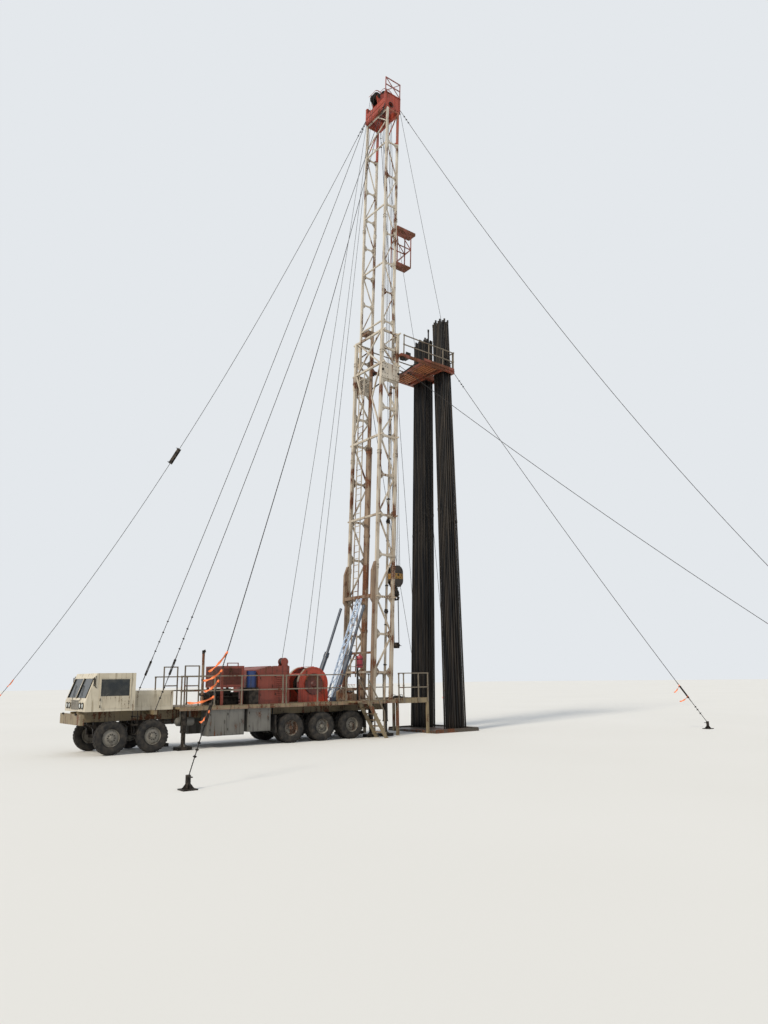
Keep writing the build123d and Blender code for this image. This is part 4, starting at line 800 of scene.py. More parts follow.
def make_crown_fittings(sizes):
    """Rope keepers over the sheaves, ribs and eye rings of the crown's plates, a dark disc in each eye hole
    as painted shade, and bolt heads.
    """
    keepers = Shape(MAST)
    for centre, radius in ((MAIN_SHAFT, 0.405), (FRONT_SHAFT, 0.3)):
        for x, _, z in around(centre, radius, 35, 145, 2, 0):
            keepers.tube([(x, -0.21, z), (x, 0.21, z)], 0.012)
        for y in (-0.235, 0.235):
            keepers.loft([[(x, y + side, z + up) for side, up in ((-0.012, 0), (0.012, 0), (0.012, 0.03),
                                                                  (-0.012, 0.03))]
                          for x, _, z in around(centre, radius, 20, 160, 10, y)])
    keepers.seat("sheave_keepers", "crown_red")
    plates = Shape(MAST)
    for x in (-0.4, 0.12, 0.4):
        plates.box((x - 0.012, -0.878, CROWN_FOOT + 0.03), (x + 0.012, -0.866, CROWN_TOP - 0.03))
    for z in (CROWN_FOOT + 0.02, CROWN_TOP - 0.045):
        plates.box((-0.48, -0.89, z), (0.48, -0.866, z + 0.025))
    for z in (30.86, 31.1):
        plates.box((-0.494, -0.8, z), (-0.486, 0.8, z + 0.02))
    plates.mirrored().seat("crown_ribs", "crown_red", smooth=0)
    eye_rings_and_shade_discs = Shape(MAST)
    x, z = -0.12, 31.06
    eye_rings_and_shade_discs.lathe((x, 0.866, z), "Y", [(0.112, -0.02), (0.112, 0.016), (0.15, 0.016), (0.15, -0.002)], 28,
               closed=True)
    # A dark disc set in each eye hole: painted shade, standing for the dark inside of the crown behind the
    # hole
    eye_rings_and_shade_discs.lathe((x, 0.76, z), "Y", [(0, 0), (0.109, 0), (0.109, 0.02), (0.03, 0.03), (0, 0.03)])
    eye_rings_and_shade_discs.mirrored().seat("crown_eye_rings_and_shade_discs", "dark_steel")
    places = [((x, face * 0.872, z), (0, face, 0)) for face, z, x in
              product(SIDES, (CROWN_FOOT + 0.1, CROWN_TOP - 0.1), (-0.44, -0.3, 0.18, 0.32, 0.44))]
    bolts("crown_bolts", places, sizes.bolt, place=MAST)


# Board and racked pipe

def stand_line(side, gap, place, gaps, top):
    """Foot and top of one racked stand, by its gap between the fingers and its place in it."""
    y = FIRST_GAP + STAND_PITCH * gap
    middle = FIRST_GAP + STAND_PITCH * (gaps - 1) / 2
    # The tops stand unevenly, and one stand of the far group sticks out above the others
    uneven = ((gap * 5 + place * 3) % 7) * 0.04
    if side > 0 and (gap, place) == (gaps - 1, 2):
        uneven = 0.7
    first_x = BOARD_OUTER - BOARD_EDGE - 0.05 - STAND_SPACING * (PER_ROW - 1)
    hang = on_mast(first_x + place * STAND_SPACING, 0, BOARD_TOP - 0.075)
    foot_y = (y - middle) * SPLAY - FOOT_Y
    foot = Vector((FOOT_X + (place - (PER_ROW - 1) / 2) * FOOT_SPACING, -side * foot_y, TRAY_TOP))
    lean = Vector((hang.x - foot.x, -side * (y - foot_y), hang.z - TRAY_TOP))
    return foot, foot + lean * ((top + uneven - 0.2 - TRAY_TOP) / lean.z)


def make_stands(sizes):
    """Doubles of tubing: round pipe with a collar at mid-length, one at the top and a pin below."""
    radius, collar = sizes.pipe / 2, sizes.collar / 2
    for name, side, gaps, top in (("near", -1, 7, 19.93), ("far", 1, 9, 19.35)):
        racked = Shape()
        for gap, place in product(range(gaps), range(PER_ROW)):
            foot, head = stand_line(side, gap, place, gaps, top)
            length = (head - foot).length
            middle = (0.5 + 0.012 * ((gap * 3 + place * 5) % 5 - 2)) * length
            steps = [(0, radius * 0.84), (0.05, radius * 0.84), (0.09, radius), (middle - 0.07, radius),
                     (middle - 0.065, collar), (middle + 0.065, collar), (middle + 0.07, radius),
                     (length - 0.14, radius), (length - 0.135, collar), (length, collar)]
            racked.tube([foot.lerp(head, far / length) for far, _ in steps], [r for _, r in steps], 12)
        racked.seat("racked_tubing_" + name, "pipe_steel", smooth=40, replaces=("stands_" + name,))


def make_board_fittings(sizes):
    """Ribs and edge trim of the platform, toe boards, finger ends, arms' hinges and a small hoist."""
    low = BOARD_TOP - BOARD_DEPTH
    # Angle bars in orange painted paler than the plate above them: painted light, standing for the lit bars
    # of the grating against its shadows
    paler_rib_paint = worn_paint("paler_enamel_orange_painted_light", linear("#b8774f"), "#7f4a34", 0.2)
    start = BOARD_INNER + 0.1
    rib = Shape(MAST).slab([(start, low + 0.004), (start + 0.05, low + 0.004), (start + 0.05, low + 0.014),
                            (start + 0.01, low + 0.014), (start + 0.01, BOARD_TOP - 0.052),
                            (start, BOARD_TOP - 0.052)], "Y", (-BOARD_HALF_Y + BOARD_EDGE + 0.005, -0.19))
    row("board_ribs", rib.mirrored(), "board_orange", int((FINGER_BACK - BOARD_INNER - 0.15) / sizes.rib),
        MAST.to_3x3() @ Vector((sizes.rib, 0, 0)), paler_rib_paint)
    trim = Shape(MAST)
    for z in (BOARD_TOP - 0.012, low):
        trim.box((BOARD_INNER, -BOARD_HALF_Y - 0.035, z), (BOARD_OUTER - 0.01, -BOARD_HALF_Y, z + 0.012))
    trim.box((BOARD_INNER, -BOARD_HALF_Y + 0.01, BOARD_TOP),
             (BOARD_OUTER, -BOARD_HALF_Y + 0.018, BOARD_TOP + 0.15))
    for xs, proud, gap in (((2.3, 2.75, 3.2, 3.65), 0.035, 0.012), ((0.72, 1.1, 1.48, 1.82), 0.03, 0.01)):
        for x in xs:
            trim.box((x, -BOARD_HALF_Y - proud, low + gap), (x + 0.012, -BOARD_HALF_Y, BOARD_TOP - gap))
    trim.mirrored().seat("board_trim", "board_orange", smooth=0)
    horns = Shape(MAST)
    for index, side in product(range(10), SIDES):
        y = side * (1.16 - 0.105 * index)
        horns.slab([(3.745, 17.235), (3.765, 17.235), (3.765, 17.33), (3.72, 17.355), (3.66, 17.345),
                    (3.66, 17.33), (3.72, 17.33)], "Y", (y - 0.01, y + 0.01))
        horns.tube([(3.2, y - 0.016, 17.28), (3.2, y + 0.016, 17.28)], 0.018)
    horns.seat("finger_latches", "dark_steel", smooth=0)
    gear = Shape(MAST)
    gear.band((0.66, 1.17, 17.26), "Y", (0, 0.045), (-0.09, 0.09), 16, closed=False)
    for y in (1.105, 1.22):
        gear.box((0.56, y, 17.05), (0.78, y + 0.015, 17.19))
    gear.beam((0.6, 1.17, 16.3), (1.55, 1.17, 17.17), 0.06, 0.05)
    gear.mirrored()
    gear.lathe((1.0, -1.0, 17.42), "Y", even([(0, -0.17), (0.13, -0.17), (0.13, -0.14), (0.07, -0.14)]), 20)
    for low, high in (((0.86, -1.21, 17.33), (1.14, -1.18, 17.52)),
                      ((0.86, -0.82, 17.33), (1.14, -0.79, 17.52)),
                      ((0.84, -1.28, 17.27), (1.16, -0.78, 17.33))):
        gear.box(low, high)
    gear.seat("board_hinges_and_hoist", "dark_steel")


def make_rail_joints():
    """Sockets at the feet of the rails' posts, collars at their bars, and foot plates on the deck."""
    board, deck = Shape(MAST), Shape()
    start, run = 0.695, BOARD_OUTER - 0.04 - 0.695
    for shape, xs, y, low, ups in (
            (board, [start + run * t for t in (0, 0.49, 0.78, 1)], 0.045 - BOARD_HALF_Y, BOARD_TOP,
             (0, 0.48, 0.95)),
            (deck, (-10.55, -9.3, -8.23, -6.5, -6.35, -4.95, -3.6), -1.26, DECK_TOP, (0, 0.5, 1.0)),
            (deck, (-0.9, -0.64, 0.17, 0.7), -1.271, FLOOR_TOP, (0.5, 1.0))):
        for x, up in product(xs, ups):
            shape.box((x - 0.03, y - 0.03, low + up), (x + 0.03, y + 0.03, low + up + 0.07))
    for x in (-10.33, -9.8):
        deck.box((x - 0.07, -1.07, DECK_TOP), (x + 0.07, -0.93, DECK_TOP + 0.012))
    board.mirrored().seat("board_rail_sockets", "rail_grey", smooth=0)
    deck.mirrored().seat("deck_rail_sockets", "rail_grey", smooth=0)


# Ropes, guys and what is on them

def guy_lines():
    """Head, foot and sag of every guy, by the node that it stands for."""
    corner = {(sx, sy): on_mast(sx * 0.445, sy * 0.825, CROWN_FOOT + 0.33)
              for sx, sy in product(SIDES, SIDES)}
    crown = [(corner[1, -1], (ANCHOR_X, -ANCHOR_Y, EYE_Z), 2.0),
             (corner[1, 1], (ANCHOR_X, ANCHOR_Y, EYE_Z), 2.0),
             (corner[-1, 1], (-ANCHOR_X, ANCHOR_Y, EYE_Z), 2.3),
             (corner[-1, -1], (-ANCHOR_X, -FRONT_NEAR_Y, EYE_Z), 0.65)]
    load, floor = [], []
    for side in SIDES:
        load.append((corner[-1, side], (GUY_BEAM[0], side * GUY_BEAM[1], GUY_BEAM[2]), 0.45))
        floor += [(on_mast(LEG_X, side * 1.255, 16.65), (ANCHOR_X, side * ANCHOR_Y, LOW_EYE_Z), 0.45),
                  (on_mast(BOARD_OUTER - 0.03, side * (BOARD_HALF_Y - 0.03), BOARD_TOP - 0.07),
                   (BOARD_ANCHOR[0], side * BOARD_ANCHOR[1], EYE_Z), 0.25)]
    return {"crown_guys": crown, "load_guys": load, "floor_guys": floor}


def make_guys(sizes):
    """Laid ropes, their clips at both ends, and a turnbuckle above each foot."""
    steel = Shape()
    steps = 400
    for node, lines in guy_lines().items():
        ropes(node.replace("guys", "guy_ropes"), [hung(*line) for line in lines], sizes.guy, sizes.lay,
              (node,))
        for line, way in product(lines, (1, -1)):
            end = hung(*line, steps)[::way]
            whole = sum((b - a).length for a, b in zip(end, end[1:]))
            clips = (0.5, 0.68, 0.86)
            if node == "load_guys" and way < 0:
                clips += (2.36, 2.78, 3.2, 3.62)
            for far in clips:
                index = max(1, round(far / whole * steps))
                at, run = end[index], (end[index + 1] - end[index - 1]).normalized()
                steel.beam(at - run * 0.02, at + run * 0.02, 0.055, 0.034)
                side = run.cross(Vector((0, 1, 0))).normalized()
                for step in (-0.026, 0.026):
                    middle = at + side * step
                    steel.beam(middle - run * 0.006, middle + run * 0.006, 0.012, 0.08)
            if way > 0:
                continue
            low, high = end[max(1, round(1.15 / whole * steps))], end[round(2.15 / whole * steps)]
            run = (high - low).normalized()
            side = run.cross(Vector((0, 1, 0))).normalized()
            start, stop = low + run * 0.2, high - run * 0.2
            for step in (-0.03, 0.03):
                steel.beam(start + side * step, stop + side * step, 0.014, 0.03)
            for at in (start, stop):
                steel.tube([at - run * 0.03, at + run * 0.03], 0.042, 10)
            for at, out in ((low, 0.36), (high, -0.36)):
                steel.tube([at, at + run * out], 0.017)
    steel.seat("guy_clips_and_turnbuckles", "dark_steel")


def make_light_lines(sizes):
    """Board hangers, fast line, sand line and the small winch's line."""
    hangers = [hung(on_mast(0.465, side * 0.805, CROWN_FOOT + 0.39),
                    on_mast(BOARD_OUTER - 0.08, side * (BOARD_HALF_Y - 0.105), BOARD_TOP - 0.02), 0.12)
               for side in SIDES]
    ropes("hanger_ropes", hangers, sizes.hanger, sizes.lay, ("board_hangers",))
    front = on_mast(FRONT_SHAFT[0], 0, FRONT_SHAFT[1])
    lines = []
    for y, foot, sag in ((0, (DRUM[0] - DRUM_R - 0.005, 0, 2.2), 0.12),
                         (-0.15, (DRUM[0] + 0.06, -0.15, 2.41), 0.15), (0.15, (-6.345, -0.88, 3.107), 0.2)):
        over = around((front.x, front.z), 0.243, 30, 175, 10, y)
        lines.append(over + hung(on_mast(-0.7, y, FRONT_SHAFT[1]), foot, sag))
    ropes("fast_and_sand_lines", lines, sizes.hanger, sizes.lay, ("drum_lines",))


def make_flag_tape():
    """Tape knotted on the guys that reach the ground, each length blown out to one side."""
    tape = Shape()
    # How far along the guy each tape is, and where its end has blown to
    near_front = ((0.903, (-0.35, 0.27, -0.46)), (0.9185, (-0.35, 0.26, -0.23)),
                  (0.927, (-0.27, 0.2, -0.24)), (0.94, (-0.49, 0.37, -0.12)),
                  (0.9515, (-0.16, 0.12, -0.24)))
    others = ((0.9, (-0.2, 0.15, -0.3)), (0.93, (-0.3, 0.22, -0.2)))
    steps, folds = 2000, 12
    lines = guy_lines()
    near = lines["crown_guys"][-1]
    for line in lines["crown_guys"] + lines["floor_guys"]:
        points = hung(*line, steps)
        for share, reach in near_front if line is near else others:
            index = round(share * steps)
            at, run = points[index], (points[index + 4] - points[index]).normalized()
            reach = Vector(reach)
            wide = reach.cross(Vector((*CAMERA_HEADING, 0))).normalized() * 0.03
            thin = wide.cross(reach).normalized() * 0.001
            deep = thin * 26
            rings = []
            for t in (step / folds for step in range(folds + 1)):
                middle = at + reach * t - Vector((0, 0, 0.2 * t * (1 - t)))
                twist = 1.1 * sin(7 * t)
                turn = wide * cos(twist) + deep * sin(twist)
                rings.append([middle - turn - thin, middle + turn - thin, middle + turn + thin,
                              middle - turn + thin])
            tape.loft(rings)
            tape.tube([at - run * 0.035, at, at + run * 0.035], [0.02, 0.028, 0.02])
    # Vinyl flagging tape: clean, flat colour that faded unevenly
    colour = bpy.context.scene.rig_paints.tape
    finish = plain_film("fluorescent_vinyl_tape", (colour, linear("#f08a4a")), 0.55, 300, 0.1)
    tape.seat("flag_tape", "guard_orange", finish=finish)


def make_anchor_fittings():
    """Webs and shackles of the ground anchors, and the tensioner in the far front guy."""
    steel = Shape()
    for x, y in ((ANCHOR_X, ANCHOR_Y), (-ANCHOR_X, ANCHOR_Y), (-ANCHOR_X, -FRONT_NEAR_Y),
                 (ANCHOR_X, -ANCHOR_Y), BOARD_ANCHOR, (BOARD_ANCHOR[0], -BOARD_ANCHOR[1])):
        steel.webs((x, y, 0.03), 0.05, 0.15, 0.12, 0.006)
        towards = Vector((-x, -y, 0)).normalized()
        across = Vector((-towards.y, towards.x, 0))
        bow = [Vector((x, y, EYE_Z)) + towards * (0.09 + 0.05 * sin(turn)) + across * 0.04 * cos(turn)
               for turn in (pi * i / 8 for i in range(9))]
        steel.tube(bow, 0.011)
        steel.tube([bow[0] + across * 0.02, bow[-1] - across * 0.02], 0.013)
    steel.seat("anchor_shackles", "dark_steel")
    ratchet = Shape()
    points = hung(*guy_lines()["crown_guys"][2], 200)
    at, run = points[100], (points[101] - points[99]).normalized()
    side = run.cross(Vector((0, 0, 1))).normalized()
    up = side.cross(run)
    for step in (-0.06, 0.06):
        ratchet.beam(at - run * 0.44 + side * step, at + run * 0.44 + side * step, 0.014, 0.15, up=up)
    for spot in (-0.38, -0.19, 0.0, 0.19, 0.38):
        ratchet.tube([at + run * spot - side * 0.08, at + run * spot + side * 0.08], 0.02, 10)
    ratchet.tube([at - side * 0.052, at + side * 0.052], 0.068, 16)
    ratchet.tube([at - run * 0.4, at + run * 0.4], 0.032, 10)
    for spot in (-0.42, 0.38):
        ratchet.tube([at + run * spot, at + run * (spot + 0.03) + up * 0.1 - side * 0.14], 0.016)
    ratchet.seat("ratchet_tensioner", "dark_steel", replaces=("guy_tensioner",))


# Falls, block, hook and elevator

def make_falls(sizes):
    """Six falls between the crown and the block."""
    steps, foot = 60, FALL_FOOT + 0.003
    lines = [[(x, y, FALL_TOP + (foot - FALL_TOP) * i / steps) for i in range(steps + 1)]
             for x, y in product((-LINE_X, LINE_X), SHEAVE_YS)]
    falls = ropes("falls", lines, sizes.fall, sizes.lay, ("drill_lines",), None)
    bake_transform(falls)


def oval(half, low, high):
    """Outline of the block's side plate: straight sides and round ends."""
    return [(x, z) for middle, start in ((high - half, 0), (low + half, 180))
            for x, _, z in around((0, middle), half, start, start + 180, 12, 0)]


def make_block(sizes):
    """Block shell of plates round three sheaves, with its shaft and tie bolts."""
    shell = Shape()
    low, high = BLOCK_LOW + 0.002, BLOCK_HIGH
    for side in SIDES:
        shell.slab(oval(BLOCK_R, low, high), "Y", (side * 0.185, side * BLOCK_HALF_Y))
        shell.slab(oval(BLOCK_R * 0.72, low + 0.1, high - 0.14), "Y", (side * 0.208, side * 0.226))
        shell.slab(oval(BLOCK_R - 0.02, low + 0.02, high - 0.14), "Y", (side * 0.052, side * 0.068))
        shell.box((side * 0.288, -0.2, low + 0.26), (side * 0.272, 0.2, high - 0.36))
    shell.slab([(-0.16, low), (0.16, low), (0.2, low + 0.07), (-0.2, low + 0.07)], "Y", (-0.19, 0.19))
    shell.seat("block_shell", "block_paint", body="block", replaces=("travelling_block",))
    steel = Shape()
    middle = BLOCK_LOW + (BLOCK_HIGH - BLOCK_LOW) * 0.55
    for y in SHEAVE_YS:
        steel.lathe((0, y, middle), "Y", even([(0.06, -0.03), (0.1, -0.03), (0.11, -0.012), (0.2, -0.012),
                                               (0.22, -0.026), (0.262, -0.026), (0.235, 0)]), 36,
                    closed=True)
    steel.lathe((0, 0, middle), "Y", even([(0, -0.24), (0.04, -0.24), (0.06, -0.225)]), 20)
    for side, (x, z) in product(SIDES, ((0.2, high - 0.2), (0.17, low + 0.17))):
        steel.tube([(side * x, -0.222, z), (side * x, 0.222, z)], 0.018, 10)
    steel.seat("block_sheaves", "dark_steel", body="block")
    places = [place for side in SIDES for place in bolt_circle((0, middle), 0.17, 8, side, 0.232)]
    bolts("block_bolts", places, sizes.bolt, body="block")


def make_hook_fittings(sizes):
    """Spring housing, latch, ear keepers and bolt heads of the hook."""
    top = BLOCK_LOW
    steel = Shape()
    steel.lathe((0, 0, top), "Z", [(0.062, -0.15), (0.1, -0.15), (0.105, -0.13), (0.105, -0.05),
                                   (0.09, -0.03), (0.062, -0.03)], 28, closed=True)
    for down in (0.068, 0.088, 0.108):
        steel.lathe((0, 0, top - down), "Z", even([(0.104, -0.004), (0.111, -0.002)]), 28, closed=True)
    steel.slab([(0.12, 5.9), (0.17, 5.93), (0.12, 6.12), (0.09, 6.08)], "Y", (-0.02, 0.02))
    for side in SIDES:
        steel.lathe((0, 0, 6.04), "Y", [(radius, side * out) for radius, out in
                                        ((0.03, 0.2), (0.048, 0.205), (0.048, 0.222), (0.03, 0.226))], 16,
                    closed=True)
    steel.seat("hook_housing", "dark_steel", body="hook")
    places = [((side * x, face * 0.09, top - down), (0, face, 0))
              for face, side, (x, down) in product(SIDES, SIDES, ((0.09, 0.24), (0.07, 0.37)))]
    bolts("hook_bolts", places, sizes.bolt, body="hook")


def make_links_and_elevator():
    """Forged links with round eyes, and the elevator with its ears, door pins and handles."""
    links = Shape()
    upper, lower = LINK_EYES
    for y in (-LINK_Y, LINK_Y):
        for z, way in ((upper, -1), (lower, 1)):
            links.tube(around((0, z), 0.0485, 0, 345, 23, y), 0.0135, 10, closed=True)
            links.tube([(0, y, z + way * far) for far in (0.052, 0.1, 0.24)], [0.012, 0.022, 0.021], 12)
        links.tube([(0, y, upper - 0.24), (0, y, lower + 0.24)], 0.021, 12)
    links.seat("forged_links", "dark_steel", body="links", replaces=("elevator_links",))
    elevator = Shape()
    z = ELEVATOR_Z
    elevator.lathe((0, 0, z), "Z", [(0.051, -0.125), (0.12, -0.125), (0.132, -0.1), (0.132, -0.06),
                                    (0.138, -0.05), (0.138, 0.04), (0.126, 0.07), (0.118, 0.12),
                                    (0.1, 0.128), (0.07, 0.128), (0.051, 0.1)], 36, closed=True)
    ear = ((0, 0.12), (0.03, 0.12), (0.03, 0.2), (0.042, 0.202), (0.042, 0.212), (0, 0.214))
    handle = ((0.1, -0.08), (0.14, -0.13), (0.13, -0.19), (0.08, -0.2), (0.04, -0.16))
    for side in SIDES:
        elevator.lathe((0, 0, z), "Y", [(radius, side * out) for radius, out in ear], 16)
        elevator.tube([(side * 0.134, 0, z - 0.1), (side * 0.134, 0, z + 0.09)], 0.016, 10)
        elevator.tube([(side * x, side * y, z - 0.02) for x, y in handle], 0.01)
    elevator.seat("elevator_body", "dark_steel", body="links", replaces=("elevator",))


# Carrier

def make_wheels():
    """Tyres with shoulders and tread blocks, and dished rims with hubs and nuts."""
    half, radius, bead = TYRE_WIDTH / 2, TYRE_R, RIM_R - 0.001
    tread_r = radius - 0.014
    carcass = Shape().lathe((0, 0, 0), "Y", even([
        (RIM_R + 0.002, -half + 0.05), (RIM_R + 0.03, -half + 0.02), (RIM_R + 0.1, -half + 0.002),
        (radius - 0.12, -half), (radius - 0.06, -half + 0.008), (tread_r - 0.012, -half + 0.03),
        (tread_r, -half + 0.06)]), 36, closed=True)
    blocks = Shape()
    for (side, lead), (inner, outer, drop, shift) in product(((-1, 0), (1, 0.05)), (
            (0.012, 0.062, 0.0015, 0), (0.074, 0.122, 0.0115, 0.02))):
        rings = []
        for r, reach in ((tread_r - 0.01, 0.037), (radius - drop, 0.03182)):
            corners = ((-reach, inner), (reach, inner), (reach, outer), (-reach, outer))
            rings.append([(x + lead + shift, side * y, (r * r - (x + lead + shift) ** 2) ** 0.5)
                          for x, y in corners])
        blocks.loft(rings)
    ring = repeated("tread_ring", blocks, "ring", "tyre", Count=30)
    carcass.add([vertex.co.copy() for vertex in ring.data.vertices],
                [list(face.vertices) for face in ring.data.polygons])
    bpy.data.objects.remove(ring)
    outer = [(x, side * TYRE_OUT_Y) for x, side in product(REAR_AXLES + FRONT_AXLES, SIDES)]
    inner = [(x, side * TYRE_IN_Y) for x, side in product(REAR_AXLES, SIDES)]
    tyres = Shape().copies(carcass, [Matrix.Translation((x, y, TYRE_R)) for x, y in outer + inner])
    tyres.seat("treaded_tyres", "tyre", replaces=("tyres",))
    rims, nuts = Shape(), []
    for x, y in outer:
        out = 1 if y > 0 else -1
        dish = 0.03 if x in REAR_AXLES else 0.09
        outline = [(0, dish + 0.075), (0.06, dish + 0.075), (0.075, dish + 0.06), (0.08, dish + 0.012),
                   (0.15, dish + 0.01), (0.2, dish - 0.01), (0.235, dish - 0.03), (0.262, 0.05),
                   (0.27, 0.085), (bead, 0.1), (bead, -0.1), (0.25, -0.1), (0.22, -0.06), (0, -0.06)]
        rims.lathe((x, y, TYRE_R), "Y", [(r, out * far) for r, far in outline], 32)
        nuts += bolt_circle((x, TYRE_R), 0.125, 10, out, abs(y) + dish + 0.022)
    for x, y in inner:
        rims.lathe((x, y, TYRE_R), "Y", [(0, -0.1), (0.27, -0.1), (bead, -0.09), (bead, 0.1), (0.24, 0.1),
                                         (0.2, 0.16), (0, 0.16)], 32)
    rims.seat("dished_rims", "rim_grey", replaces=("wheel_rims",))
    bolts("wheel_nuts", nuts, 0.036)


def make_deck_edge():
    """Folded edge, stake pockets and tread strips of the deck."""
    edge = Shape()
    edge.box((DECK_FRONT, -DECK_HALF_Y - 0.006, DECK_TOP - 0.012), (DECK_REAR, -DECK_HALF_Y, DECK_TOP))
    edge.box((DECK_FRONT, -DECK_HALF_Y, DECK_TOP - 0.14), (DECK_REAR, -DECK_HALF_Y + 0.03, DECK_LOW))
    for x in (DECK_FRONT + 0.18 + 0.6 * step for step in range(16)):
        if not -3.65 < x < -2.2:
            edge.box((x, -DECK_HALF_Y - 0.028, DECK_TOP - 0.13), (x + 0.07, -DECK_HALF_Y, DECK_TOP - 0.01))
    edge.mirrored().seat("deck_edges", "mast_brown", smooth=0)
    strip = Shape()
    for y in (-1.198, -1.138, -0.938, -0.878):
        strip.box((-10.5, y, DECK_TOP), (-10.44, y + 0.016, DECK_TOP + 0.005))
    row("deck_tread", strip.mirrored(), "deck_grey", 60, (0.155, 0, 0))


def border(shape, low, high, thick, bar=0.035, along="Y"):
    """Raised frame round a door or panel, between two limits along an axis."""
    (u0, v0), (u1, v1) = low, high
    for (a0, b0), (a1, b1) in (((u0, v0), (u1, v0 + bar)), ((u0, v1 - bar), (u1, v1)),
                               ((u0, v0 + bar), (u0 + bar, v1 - bar)),
                               ((u1 - bar, v0 + bar), (u1, v1 - bar))):
        shape.slab([(a0, b0), (a1, b0), (a1, b1), (a0, b1)], along, thick)


def door_fittings(shape, low, high, side, face):
    """Two hinges and a bent handle on a door that lies across Y."""
    (x0, z0), (x1, z1) = low, high
    out = face + side * 0.02
    for z in (z0 + (z1 - z0) * 0.2, z0 + (z1 - z0) * 0.8):
        shape.tube([(x0 + 0.02, out, z - 0.04), (x0 + 0.02, out, z + 0.04)], 0.013)
    mid, x, grip = (z0 + z1) / 2, x1 - 0.07, out + side * 0.02
    shape.tube([(x, face, mid - 0.06), (x, grip, mid - 0.05), (x, grip, mid + 0.05), (x, face, mid + 0.06)],
               0.008)


def make_housing(sizes):
    """Doors, louvres and roof ribs of the engine housing, and frames and fins of the cooler."""
    (hx0, _, _), (hx1, face, hz1) = HOUSING_LOW, HOUSING_HIGH
    frames, steel = Shape(), Shape()
    for low, high in (((hx0 + 0.06, 1.6), (hx0 + 0.66, 2.62)), ((hx0 + 0.7, 1.6), (hx1 - 0.04, 2.72))):
        border(frames, low, high, (face, face + 0.012))
        for side in SIDES:
            door_fittings(steel, low, high, side, side * face)
    frames.box((hx0 - 0.012, 0.94, 1.58), (hx0, 0.98, 2.68))
    frames.mirrored()
    for x in (hx0 + 0.5, hx0 + 0.9, hx1 - 0.06):
        frames.box((x, -face, hz1), (x + 0.04, face, hz1 + 0.014))
    frames.box((hx0 - 0.012, -0.94, 2.64), (hx0, 0.94, 2.68))
    frames.seat("housing_frames", "housing_red", smooth=0)
    for name, side in (("near", -1), ("far", 1)):
        outline = [(face, 1.7), (face + 0.022, 1.7), (face + 0.004, 1.745), (face, 1.745)]
        slat = Shape().slab([(side * y, z) for y, z in outline], "X", (hx0 + 0.76, hx1 - 0.12))
        row("housing_louvres_" + name, slat, "housing_red", 11, (0, 0, sizes.slat))
    (x0, y0, z0), (x1, y1, z1) = COOLER_LOW, COOLER_HIGH
    rims = Shape()
    border(rims, (y0, z0), (y1, z1), (x0 - 0.012, x0), 0.05, "X")
    for thick in ((y0 - 0.012, y0), (y1, y1 + 0.012)):
        border(rims, (x0 + 0.04, z0 + 0.04), (x1 - 0.04, z1 - 0.04), thick, 0.04)
    rims.seat("cooler_frames", "housing_red", smooth=0)
    wire = Shape().box((x0 - 0.008, y0 + 0.06, z0 + 0.075), (x0, y1 - 0.06, z0 + 0.082))
    row("cooler_grille_bars", wire, "dark_steel", 26, (0, 0, 0.025))
    fin = Shape().box((x0 + 0.1, y0 - 0.008, z0 + 0.1), (x0 + 0.106, y0, z1 - 0.1))
    row("cooler_side_fins", fin, "dark_steel", 24, (0.03, 0, 0))
    steel.seat("housing_hinges_and_handles", "dark_steel")


def make_engine_parts():
    """Pulleys, filters, manifold and pipes on the engine below the cooler."""
    steel = Shape()
    for z, radius, y in ((1.7, 0.15, -0.14), (1.86, 0.07, 0.12), (1.62, 0.06, -0.42)):
        steel.lathe((-9.15, y, z), "X", [(0, -0.03), (radius * 0.4, -0.03), (radius * 0.5, -0.1),
                                         (radius, -0.1), (radius - 0.015, -0.075), (radius, -0.05),
                                         (radius * 0.4, -0.03)])
    for x in (-8.9, -8.7, -8.5, -8.3):
        steel.tube([(x, -0.52, 1.84), (x, -0.6, 1.83), (x, -0.64, 1.78)], 0.035, 10)
        steel.lathe((x, -0.1, 1.93), "Z", [(0.09, 0), (0.09, 0.08), (0.06, 0.12), (0, 0.12)], 12)
    steel.tube([(-8.95, -0.64, 1.76), (-8.1, -0.64, 1.76)], 0.055, 12)
    for x in (-8.85, -8.65):
        steel.lathe((x, -0.585, 1.5), "Z", [(0, 0), (0.055, 0), (0.06, 0.02), (0.06, 0.15), (0.03, 0.17),
                                            (0, 0.17)], 16)
    for z in (1.55, 1.65):
        steel.tube([(-8.02, -0.5, z), (-7.9, -0.5, z), (-7.87, -0.5, z + 0.02)], 0.022)
    steel.seat("engine_fittings", "dark_steel")


def make_oil_drum():
    """Top rim, bung and rolled hoops of the oil drum."""
    x, y, low = OIL_DRUM
    drum = Shape()
    for up in (0.2, 0.31, 0.4):
        drum.lathe((x, y, low + up), "Z", even([(0.172, -0.012), (0.183, -0.004)]), 28, closed=True)
    drum.lathe((x, y, low + 0.6), "Z", [(0.155, 0), (0.178, 0), (0.178, 0.014), (0.166, 0.014),
                                        (0.155, 0.003)], 28, closed=True)
    drum.band((x + 0.09, y, low + 0.6), "Z", (0, 0.03), (0, 0.012), 12, closed=False)
    drum.seat("drum_hoops", "barrel_blue")


